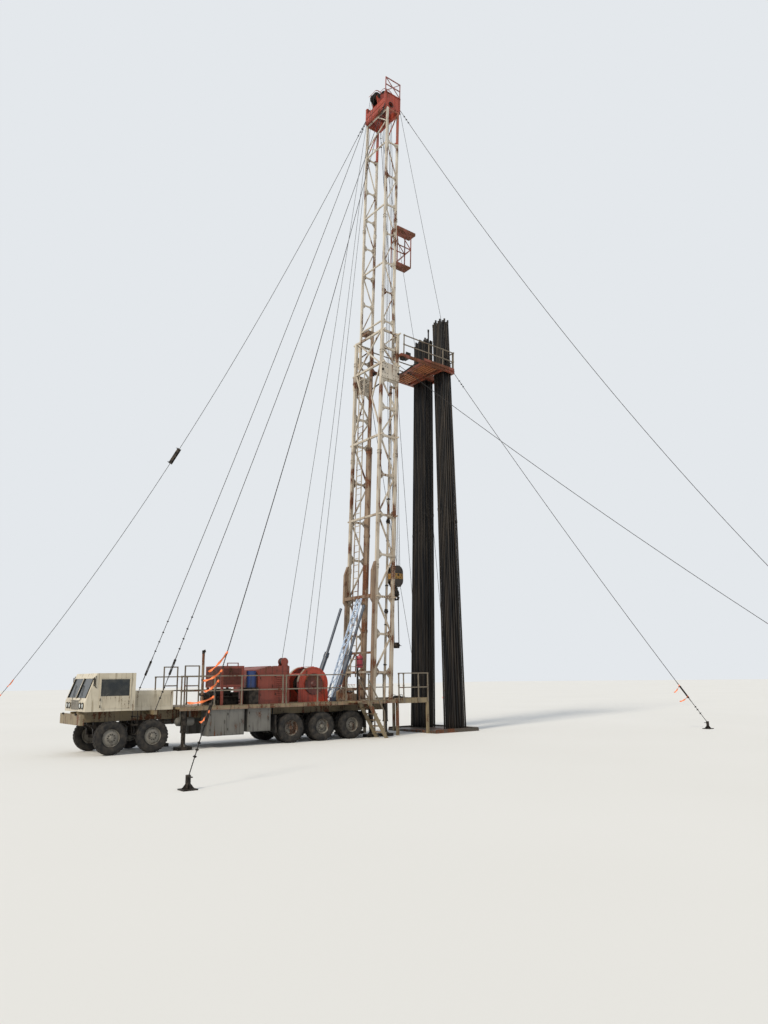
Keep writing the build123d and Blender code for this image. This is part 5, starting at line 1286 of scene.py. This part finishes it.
def make_drawworks(sizes):
    """Rope turns on the drum, the guard's straps, pale strips over the guard's top that are a painted
    highlight, and the brake covers.
    """
    x, _, z = DRUM
    turn = Shape().tube(around((x, z), DRUM_R + 0.012, 0, 345, 23, -DRUM_HALF_Y + 0.012), 0.0135, 6,
                        closed=True)
    row("drum_rope", turn, "wire_rope", 27, (0, 0.0285, 0), smooth=35)
    straps = Shape()
    straps.arch((x, z), (GUARD_R - 0.005, GUARD_R - 0.06), (-8, 188), 20, (0.5, 0.514))
    for lean in (-0.5, 0.5):
        straps.box((x + lean - 0.025, 0.5, DECK_TOP), (x + lean + 0.025, 0.514, z + 0.35))
    straps.mirrored()
    for spot in (radians(turn) for turn in (35, 90, 145)):
        way, far = Vector((cos(spot), 0, sin(spot))), GUARD_R + 0.006
        at = Vector((x, 0, z)) + way * far
        straps.beam(at - Vector((0, 0.48, 0)), at + Vector((0, 0.48, 0)), 0.05, 0.012, up=way)
    straps.seat("guard_straps", "guard_orange", smooth=25)
    # Pale strips over the top of the guard's arch: a painted highlight, standing for sunlight on the top of
    # the rolled plate
    highlight_bands = Shape().arch((x, z), (GUARD_R + 0.012, GUARD_R + 0.001), (100, 172), 14, (0.36, 0.485))
    highlight_bands.mirrored().seat("guard_painted_highlight_strips", "mast_cream", smooth=25)
    cover = Shape().lathe((x, 0.5, z), "Y", [
        (0, 0.07), (0.09, 0.07), (0.11, 0.05), (0.13, 0.03), (0.36, 0.028), (0.4, 0.05), (0.42, 0.05),
        (0.42, 0.001), (0, 0.001)], 36)
    # Red enamel painted nearly brown: painted shade, giving the covers the colour of a side in shadow, with
    # the usual grime and rust over it
    finish = worn_paint("dark_red_enamel_painted_shade", linear("#5c2a22"), "#33201a", 0.2)
    cover.mirrored().seat("brake_covers", "housing_red", finish=finish)
    places = [place for side in SIDES for place in bolt_circle((x, z), 0.39, 16, side, 0.555)]
    bolts("brake_cover_bolts", places, sizes.bolt)


def make_winch_and_exhaust():
    """Rope and motor of the small winch, the clamps and cap of the exhausts, and dark bars on the muffler's
    shield painted as the shade in its slots.
    """
    x, y, z = WINCH
    turn = Shape().tube(around((x, z), 0.121, 0, 340, 17, y - 0.1), 0.0095, 6, closed=True)
    row("winch_rope", turn, "wire_rope", 10, (0, 0.021, 0), smooth=35)
    steel = Shape()
    steel.lathe((x, y, z), "Y", [(0, 0.146), (0.07, 0.146), (0.07, 0.25), (0.05, 0.27), (0, 0.27)], 20)
    for (pipe, radius), up in product(((EXHAUST, 0.045), (MUFFLER, 0.09)), (0.35, 0.9)):
        steel.band((*pipe, DECK_TOP + up), "Z", (radius, radius + 0.014), (0, 0.03), 20)
    x, y = EXHAUST
    steel.band((x, y, 3.32), "Z", (0.05, 0.055), (0, 0.05), 16)
    steel.beam((x - 0.05, y, 3.372), (x + 0.08, y, 3.42), 0.1, 0.01)
    steel.seat("exhaust_clamps_and_motor", "dark_steel")
    # Thin dark bars on the shield's surface: painted shade, standing for the dark inside of its slots
    slot_shade_bars = Shape()
    for turn in (2 * pi * i / 16 for i in range(16)):
        out = Vector((cos(turn), sin(turn), 0))
        at = Vector((*MUFFLER, 1.95)) + out * 0.093
        slot_shade_bars.beam(at, at + Vector((0, 0, 0.045)), 0.014, 0.006, up=out)
    row("muffler_slot_painted_shade", slot_shade_bars, "dark_steel", 11, (0, 0, 0.075))


def make_controls():
    """Control cabinet with gauges and levers, the valve bank with its levers, and the red bottle."""
    plate, steel, knobs = Shape(), Shape(), Shape()
    (x0, y0), (x1, y1), top = *CABINET, 1.95
    plate.slab([(x0, DECK_TOP + 0.03), (x1, DECK_TOP + 0.03), (x1, top), (x0 + 0.18, top),
                (x0, top - 0.09)], "Y", (y0, y1))
    plate.box((x0 + 0.02, y0 + 0.02, DECK_TOP), (x1 - 0.02, y1 - 0.02, DECK_TOP + 0.03))
    border(plate, (x0 + 0.02, top - 0.43), (x1 - 0.02, top - 0.12), (y0 - 0.012, y0), 0.02)
    for x in (x0 + 0.06, x0 + 0.12):
        steel.tube([(x, -1.14, 1.88), (x - 0.01, -1.16, 1.98), (x - 0.02, -1.18, 2.06)], 0.006)
        knobs.lathe((x - 0.02, -1.18, 2.06), "Z", [(0, 0), (0.014, 0.006), (0.018, 0.02), (0.014, 0.034),
                                                   (0, 0.04)], 12)
    for y in (y0 + 0.05, y1 - 0.05):
        steel.lathe((x1 - 0.06, y, top), "Z", [(0, 0), (0.036, 0), (0.036, 0.022), (0.028, 0.026),
                                               (0, 0.024)], 20)
    (x0, y0), (x1, y1), top = *VALVE_BANK, 1.74
    plate.slab([(x0, DECK_TOP), (x1, DECK_TOP), (x1, top - 0.04), (x1 - 0.05, top), (x0 + 0.05, top),
                (x0, top - 0.04)], "Y", (y0, y1))
    plate.slab([(x0 + 0.03, top + 0.12), (x1 - 0.03, top + 0.12), (x1 - 0.05, top + 0.16),
                (x0 + 0.05, top + 0.16)], "Y", (y0, y1))
    x = (x0 + x1) / 2
    for y in (y0 + 0.06 + 0.112 * step for step in range(8)):
        plate.lathe((x, y, top), "Z", [(0.045, 0), (0.045, 0.04), (0.03, 0.06), (0.03, 0.13)], 12)
        steel.tube([(x, y, 1.9), (x + 0.02, y, 2.0), (x + 0.06, y, 2.09)], 0.007)
        knobs.lathe((x + 0.06, y, 2.09), "Z", [(0, 0), (0.016, 0.008), (0.018, 0.022), (0, 0.04)], 12)
        for z in (1.54, 1.64):
            steel.lathe((x1, y, z), "X", [(0, 0), (0.03, 0), (0.03, 0.04), (0.022, 0.05), (0.022, 0.1),
                                          (0, 0.1)], 12)
    plate.seat("control_cabinets", "mast_brown", smooth=30, replaces=("control_box",))
    x, y, foot = BOTTLE
    bottle = Shape().lathe((x, y, foot), "Z", [(0, 0), (0.1, 0.004), (0.13, 0.04), (0.13, 0.44), (0.1, 0.5),
                                               (0.045, 0.52), (0.03, 0.54), (0.03, 0.57), (0, 0.57)])
    # Gloss enamel, crimson: the one clean, bright paint on the deck
    finish = worn_paint("gloss_enamel_crimson", linear("#8f2330"), "#521a20", 0.05, 0.3)
    bottle.seat("red_bottle", "housing_red", finish=finish)
    steel.beam((x, y + 0.17, DECK_TOP), (x, y + 0.17, foot + 0.5), 0.06, 0.06)
    steel.box((x - 0.1, y + 0.1, DECK_TOP), (x + 0.1, y + 0.24, DECK_TOP + 0.014))
    for z in (foot + 0.1, foot + 0.34):
        steel.band((x, y, z), "Z", (0.129, 0.136), (0, 0.035))
        steel.box((x - 0.02, y + 0.13, z), (x + 0.02, y + 0.15, z + 0.035))
    steel.seat("levers_and_gauges", "dark_steel")
    knobs.seat("lever_knobs", "guard_orange")


def make_under_deck():
    """Doors of the tool boxes, air tanks, springs' leaves, brake pots and mud flaps."""
    frames, steel = Shape(), Shape()
    for low, high, face in (((-9.46, 0.46), (-8.82, 1.34), 1.26), ((-8.78, 0.46), (-8.14, 1.34), 1.26),
                            ((-7.91, 0.54), (-7.04, 1.34), 1.24)):
        border(frames, low, high, (face, face + 0.012))
        for side in SIDES:
            door_fittings(steel, low, high, side, side * face)
    frames.mirrored().seat("box_door_frames", "box_grey", smooth=0)
    steel.seat("box_hinges_and_handles", "dark_steel")
    x, y, z = TANK
    tanks = Shape().lathe(TANK, "X", even([(0, -0.36), (0.08, -0.35), (0.14, -0.3), (TANK_R, -0.25)]))
    for strap in (x - 0.18, x + 0.18):
        tanks.band((strap, y, z), "X", (TANK_R, TANK_R + 0.006), (-0.02, 0.02))
        tanks.box((strap - 0.02, y - 0.02, z + TANK_R), (strap + 0.02, y + 0.02, DECK_LOW))
    tanks.mirrored().seat("air_tanks", "box_grey")
    leaves = Shape()
    for x in REAR_AXLES + FRONT_AXLES:
        for y in (-0.365, 0.365):
            for step in range(6):
                reach, z = 0.62 - 0.075 * step, 0.98 - 0.045 * step
                curve = [(x + reach * t, z - 0.1 * (1 - t * t)) for t in (-1, -0.5, 0, 0.5, 1)]
                leaves.loft([[(cx, y - 0.04, cz), (cx, y + 0.04, cz), (cx, y + 0.04, cz + 0.03),
                              (cx, y - 0.04, cz + 0.03)] for cx, cz in curve])
            for turn in (-0.09, 0.09):
                leaves.tube([(x + turn, y, 0.5), (x + turn, y, 0.99)], 0.013)
        leaves.lathe((x + 0.24, -0.2, 0.62), "X", even([(0, -0.08), (0.08, -0.08), (0.09, -0.02)]), 16)
    leaves.seat("spring_leaves", "dark_steel", smooth=0)
    flaps = Shape()
    low, high = 0.68, 1.26
    for x in (-6.78, -2.64):
        flaps.loft([[(x + lean, low, z), (x + lean, high, z), (x + lean + 0.01, high, z),
                     (x + lean + 0.01, low, z)] for z, lean in ((1.0, 0), (0.7, 0.01), (0.4, 0.03))])
        flaps.box((x - 0.015, low, 1.0), (x + 0.025, high, 1.05))
        flaps.box((x - 0.01, 0.94, 1.05), (x + 0.02, 1.0, DECK_LOW))
    flaps.mirrored().seat("mud_flaps", "tyre", smooth=0)


def make_jacks():
    """Screw threads, collars and pad webs of the levelling jacks."""
    screws, pads = Shape(), Shape()
    for x in JACK_XS:
        for step in range(14):
            screws.lathe((x, JACK_Y, 0.2 + 0.03 * step), "Z", even([(0.068, -0.01), (0.079, 0)]), 14,
                         closed=True)
        screws.band((x, JACK_Y, 0.62), "Z", (0.1, 0.12), (-0.03, 0.03), 16)
        pads.webs((x, JACK_Y, 0.12), 0.07, 0.19, 0.09, 0.008)
    screws.mirrored().seat("jack_screws", "dark_steel")
    pads.mirrored().seat("jack_pad_webs", "box_grey", smooth=0)


def make_cab():
    """Doors, grille, lamps, mirrors, wipers, steps and glass of the cab, and the cowl louvres."""
    frames, steel, lens = Shape(), Shape(), Shape()
    low, high, sill = (-13.34, 1.5), (-12.3, 2.52), 1.86
    border(frames, low, high, (CAB_SIDE, CAB_SIDE + 0.01), 0.03)
    steel.box((-13.56, 1.17, 2.24), (-13.53, 1.2, 2.52))
    for z in (0.62, 0.92, 1.2):
        steel.box((-12.2, 1.0, z), (-12.0, 1.19, z + 0.03))
    for x in (-12.2, -12.02):
        steel.box((x, 1.088, 0.62), (x + 0.02, 1.112, DECK_LOW))
    for y in (0.62, 0.9):
        at = (CAB_NOSE, y, 1.6)
        lens.lathe(at, "X", [(0, -0.035), (0.06, -0.03), (0.085, -0.012), (0.085, 0), (0, 0)])
        steel.band(at, "X", (0.086, 0.105), (-0.03, 0))
    steel.box((-13.97, 0.7, 1.3), (-13.92, 0.8, 1.36))
    steel.mirrored()
    for side in SIDES:
        door_fittings(steel, low, (high[0], sill), side, side * CAB_SIDE)
        steel.tube([(-13.42, side * 1.15, 2.55), (-13.5, side * 1.19, 2.56), (-13.5, side * 1.2, 2.2),
                    (-13.42, side * 1.16, 2.16)], 0.012)
    for z in (1.48 + 0.035 * step for step in range(9)):
        steel.box((CAB_NOSE - 0.015, -0.45, z), (CAB_NOSE, 0.45, z + 0.014))
    for y in (-0.55, 0.35):
        steel.tube([(CAB_NOSE - 0.015, y, 1.76), (-13.7, y + 0.16, 1.99), (-13.6, y + 0.3, 2.26)], 0.008, 6)
    frames.mirrored().beam((-13.752, 0, 1.83), (-13.505, 0, 2.5), 0.05, 0.05)
    frames.seat("cab_door_frames", "cab_cream", smooth=0)
    screen = Shape().slab([(-13.738, 1.835), (-13.728, 1.835), (-13.492, 2.48), (-13.502, 2.48)], "Y",
                          (-1.06, 1.06))
    screen.seat("windscreen", "cab_glass", smooth=0)
    gasket = Shape()
    for y in (0.035, 1.03):
        gasket.beam((-13.75, y, 1.85), (-13.518, y, 2.485), 0.03, 0.02)
    gasket.mirrored()
    for x, z in ((-13.75, 1.855), (-13.522, 2.475)):
        gasket.beam((x, -1.04, z), (x, 1.04, z), 0.02, 0.03)
    gasket.seat("windscreen_gasket", "tyre", smooth=0)
    steel.seat("cab_fittings", "dark_steel", smooth=30)
    # Pressed glass lenses: pale, with a bright clear surface
    glass = plain_film("pressed_lamp_glass", (linear("#cfd3cf"), linear("#b9bfbd")), 0.12, 90)
    lens.mirrored().seat("headlamps", "cab_glass", finish=glass)
    for name, y in (("near", -0.912), ("far", 0.9)):
        cowl = Shape().box((-12.1, y, 1.52), (-12.08, y + 0.012, 1.92))
        row("cowl_louvres_" + name, cowl, "cab_cream", 24, (0.055, 0, 0))


# Work floor, stair and tray

def make_floor_fittings():
    """Tread bars of the floor, the slip bowl over the well, stair nosings and the tray's rims."""
    for name, y in (("near", -1.22), ("far", 0.22)):
        bar = Shape().box((-0.97, y, FLOOR_TOP), (-0.955, y + 1.0, FLOOR_TOP + 0.006))
        row("floor_tread_" + name, bar, "deck_grey", 35, (0.05, 0, 0))
    bowl = Shape()
    inner, outer, top = 0.17, 0.24, FLOOR_TOP + 0.05
    bowl.box((-outer, inner, FLOOR_TOP), (outer, outer, top))
    bowl.mirrored()
    for side in SIDES:
        bowl.box((side * inner, -inner, FLOOR_TOP), (side * outer, inner, top))
        bowl.tube([(side * 0.2, y, FLOOR_TOP + up) for y, up in ((-0.1, 0.05), (-0.09, 0.13), (0.09, 0.13),
                                                                 (0.1, 0.05))], 0.011)
    bowl.lathe((0, 0, FLOOR_TOP), "Z", [(0.115, -0.05), (0.155, -0.05), (0.168, 0.03), (0.168, 0.075),
                                        (0.15, 0.09), (0.125, 0.09)], 32, closed=True)
    bowl.seat("slip_bowl", "dark_steel")
    nosing = Shape()
    for start, end, low, high in ((-3.052, -3.035, 0.02, 0.002), (-3.0, -2.99, 0.006, 0.001),
                                  (-2.95, -2.94, 0.006, 0.001)):
        nosing.box((start, -2.0, DECK_TOP - low), (end, -1.38, DECK_TOP - high))
    row("stair_nosings", nosing, "mast_brown", 6, (0.148, 0, -DECK_TOP / 6))
    rim = Shape()
    for low, high in (((0.76, -1.69), (3.24, -1.65)), ((3.2, -1.65), (3.24, 1.65)),
                      ((0.76, 1.65), (3.24, 1.69))):
        rim.box((*low, TRAY_TOP), (*high, TRAY_TOP + 0.06))
    rim.seat("tray_rims", "tray_dark", smooth=0)


# Stage

def set_camera():
    """The photograph's own camera: its place, tilt, roll and field of view."""
    data = bpy.data.cameras.new("photo_camera")
    data.sensor_fit = "VERTICAL"
    data.sensor_height = FILM_HEIGHT
    data.lens = FILM_HEIGHT * PHOTO_FOCAL / PHOTO_HEIGHT
    data.clip_end = 500.0
    camera = bpy.data.objects.new("photo_camera", data)
    bpy.context.scene.collection.objects.link(camera)
    pitch = atan((PHOTO_HORIZON - PHOTO_HEIGHT / 2) / PHOTO_FOCAL)
    ahead = Vector((*CAMERA_HEADING, 0)).normalized()
    level_right = ahead.cross(Vector((0, 0, 1)))
    look = ahead * cos(pitch) + Vector((0, 0, 1)) * sin(pitch)
    up = level_right.cross(look)
    roll = radians(PHOTO_ROLL)
    right = level_right * cos(roll) - up * sin(roll)
    up = level_right * sin(roll) + up * cos(roll)
    turn = Matrix((right, up, -look)).transposed().to_4x4()
    camera.matrix_world = Matrix.Translation(CAMERA_PLACE) @ turn
    bpy.context.scene.camera = camera


def set_lights():
    """A broad soft key light from the left, an even fill and a pale background."""
    scene = bpy.context.scene
    scene.view_settings.view_transform = "Standard"
    world = bpy.data.worlds.new("studio")
    scene.world = world
    world.use_nodes = True
    tree = world.node_tree
    tree.nodes.clear()
    path = add(tree, "ShaderNodeLightPath").outputs
    seen = add(tree, "ShaderNodeMath", {0: path["Is Camera Ray"], 1: path["Is Glossy Ray"]},
               operation="MAXIMUM")
    seen = add(tree, "ShaderNodeMath", {0: seen, 1: path["Is Transmission Ray"]}, operation="MAXIMUM")
    ambient = add(tree, "ShaderNodeBackground", {"Color": linear("#dfe5ee"), "Strength": 0.75})
    shown = add(tree, "ShaderNodeBackground", {"Color": linear("#e4e8ec"), "Strength": 1.0})
    mix = add(tree, "ShaderNodeMixShader", {0: seen, 1: ambient, 2: shown})
    add(tree, "ShaderNodeOutputWorld", {"Surface": mix})
    key = bpy.data.lights.new("key", "SUN")
    key.energy = 2.6
    key.angle = radians(12)
    key.color = linear("#fff4e2")[:3]
    lamp = bpy.data.objects.new("key", key)
    lamp.rotation_euler = Vector((-0.86, -0.30, 0.75)).to_track_quat("Z", "Y").to_euler()
    scene.collection.objects.link(lamp)


def lay_floor():
    """Pale matt floor that reaches past the horizon."""
    size = 260.0
    corners = [(-size, -size, 0), (size, -size, 0), (size, size, 0), (-size, size, 0)]
    floor = Shape().add(corners, [(0, 1, 2, 3)]).piece("floor")
    # Matt floor paint: even and pale, with a slight cloudiness
    material, tree, shader, place = fresh("matt_floor_paint")
    cloud = add(tree, "ShaderNodeTexNoise", {"Vector": place, "Scale": 1000 / 9000, "Detail": 2.0})
    tone = add(tree, "ShaderNodeMix", {0: cloud, 6: linear("#dcdcd8"), 7: linear("#e2e2df")},
               data_type="RGBA")
    fill(tree, shader, {"Base Color": tone.outputs[2], "Roughness": 0.95})
    floor.data.materials.append(material)


# Operators and panel

def ready(context):
    """The sizes to work with, once the finishes are mixed."""
    if not FINISHES:
        raise RuntimeError("Run the finishes step first")
    return context.scene.rig_sizes


class RIG_OT_finishes(bpy.types.Operator):
    """Mix every finish, build the trees, and give each node of the model its finish"""
    bl_idname = "rig.finishes"
    bl_label = "Finishes"

    def execute(self, context):
        TREES.update(row=row_tree(), ring=ring_tree(), rope=rope_tree(), bolts=bolt_tree())
        FINISHES.update(mix_finishes(context.scene.rig_paints))
        for entry in frame["record"]["subparts"]:
            node = frame["nodes"][entry["node"]]
            node.data.materials.clear()
            node.data.materials.append(FINISHES[entry["material_slot"]])
        return {"FINISHED"}


class RIG_OT_mast(bpy.types.Operator):
    """Make the mast's gussets, collars, clamps, bolt heads, rungs and access ladder"""
    bl_idname = "rig.mast"
    bl_label = "Mast fittings"

    def execute(self, context):
        sizes = ready(context)
        make_mast_plates()
        make_mast_bolts(sizes)
        make_mast_fittings()
        make_ladder_rungs()
        make_access_ladder()
        return {"FINISHED"}


class RIG_OT_crown(bpy.types.Operator):
    """Make the crown's sheaves, ropes, keepers, ribs, eyes and bolt heads"""
    bl_idname = "rig.crown"
    bl_label = "Crown"

    def execute(self, context):
        sizes = ready(context)
        make_crown_wheels()
        make_crown_ropes(sizes)
        make_crown_fittings(sizes)
        return {"FINISHED"}


class RIG_OT_board(bpy.types.Operator):
    """Make the board's ribs, trim, latches and hinges, and the rails' sockets"""
    bl_idname = "rig.board"
    bl_label = "Tubing board"

    def execute(self, context):
        sizes = ready(context)
        make_board_fittings(sizes)
        make_rail_joints()
        return {"FINISHED"}


class RIG_OT_stands(bpy.types.Operator):
    """Rack the doubles of tubing"""
    bl_idname = "rig.stands"
    bl_label = "Racked tubing"

    def execute(self, context):
        sizes = ready(context)
        make_stands(sizes)
        return {"FINISHED"}


class RIG_OT_guys(bpy.types.Operator):
    """String the guys, hangers and lines, with clips, turnbuckles, tape and shackles"""
    bl_idname = "rig.guys"
    bl_label = "Guys and lines"

    def execute(self, context):
        sizes = ready(context)
        make_guys(sizes)
        make_light_lines(sizes)
        make_flag_tape()
        make_anchor_fittings()
        return {"FINISHED"}


class RIG_OT_tackle(bpy.types.Operator):
    """Make the falls, the block, and what is on the hook, the links and the elevator"""
    bl_idname = "rig.tackle"
    bl_label = "Tackle"

    def execute(self, context):
        sizes = ready(context)
        make_falls(sizes)
        make_block(sizes)
        make_hook_fittings(sizes)
        make_links_and_elevator()
        return {"FINISHED"}


class RIG_OT_wheels(bpy.types.Operator):
    """Make the tyres, rims and wheel nuts"""
    bl_idname = "rig.wheels"
    bl_label = "Wheels"

    def execute(self, context):
        ready(context)
        make_wheels()
        return {"FINISHED"}


class RIG_OT_deck(bpy.types.Operator):
    """Make the deck's edges, the housings' doors, the engine, the drawworks and the controls"""
    bl_idname = "rig.deck"
    bl_label = "Deck and drawworks"

    def execute(self, context):
        sizes = ready(context)
        make_deck_edge()
        make_housing(sizes)
        make_engine_parts()
        make_oil_drum()
        make_drawworks(sizes)
        make_winch_and_exhaust()
        make_controls()
        return {"FINISHED"}


class RIG_OT_chassis(bpy.types.Operator):
    """Make the boxes' doors, tanks, springs, jacks' screws and the cab's fittings"""
    bl_idname = "rig.chassis"
    bl_label = "Chassis and cab"

    def execute(self, context):
        ready(context)
        make_under_deck()
        make_jacks()
        make_cab()
        return {"FINISHED"}


class RIG_OT_floor(bpy.types.Operator):
    """Make the work floor's tread, the slip bowl, the stair's nosings and the tray's rims"""
    bl_idname = "rig.floor"
    bl_label = "Work floor"

    def execute(self, context):
        ready(context)
        make_floor_fittings()
        return {"FINISHED"}


class RIG_OT_stage(bpy.types.Operator):
    """Lay the floor and set the lights and the camera"""
    bl_idname = "rig.stage"
    bl_label = "Stage"

    def execute(self, context):
        ready(context)
        lay_floor()
        set_lights()
        set_camera()
        return {"FINISHED"}


STEPS = (RIG_OT_finishes, RIG_OT_mast, RIG_OT_crown, RIG_OT_board, RIG_OT_stands, RIG_OT_guys,
         RIG_OT_tackle, RIG_OT_wheels, RIG_OT_deck, RIG_OT_chassis, RIG_OT_floor, RIG_OT_stage)


class RIG_PT_panel(bpy.types.Panel):
    """Sizes, paints and steps of the rig"""
    bl_idname = "RIG_PT_panel"
    bl_label = "Workover Rig"
    bl_space_type = "VIEW_3D"
    bl_region_type = "UI"
    bl_category = "Rig"

    def draw(self, context):
        for group in (context.scene.rig_sizes, context.scene.rig_paints):
            box = self.layout.box()
            for key in group.__annotations__:
                box.prop(group, key)
        for step in STEPS:
            self.layout.operator(step.bl_idname)


CLASSES = (RigPaints, RigSizes) + STEPS + (RIG_PT_panel,)


def register():
    for item in CLASSES:
        bpy.utils.register_class(item)
    bpy.types.Scene.rig_paints = bpy.props.PointerProperty(type=RigPaints)
    bpy.types.Scene.rig_sizes = bpy.props.PointerProperty(type=RigSizes)


def unregister():
    del bpy.types.Scene.rig_sizes
    del bpy.types.Scene.rig_paints
    for item in reversed(CLASSES):
        bpy.utils.unregister_class(item)


def main():
    register()
    for step in STEPS:
        group, name = step.bl_idname.split(".")
        getattr(getattr(bpy.ops, group), name)()


if __name__ == "__main__":
    main()
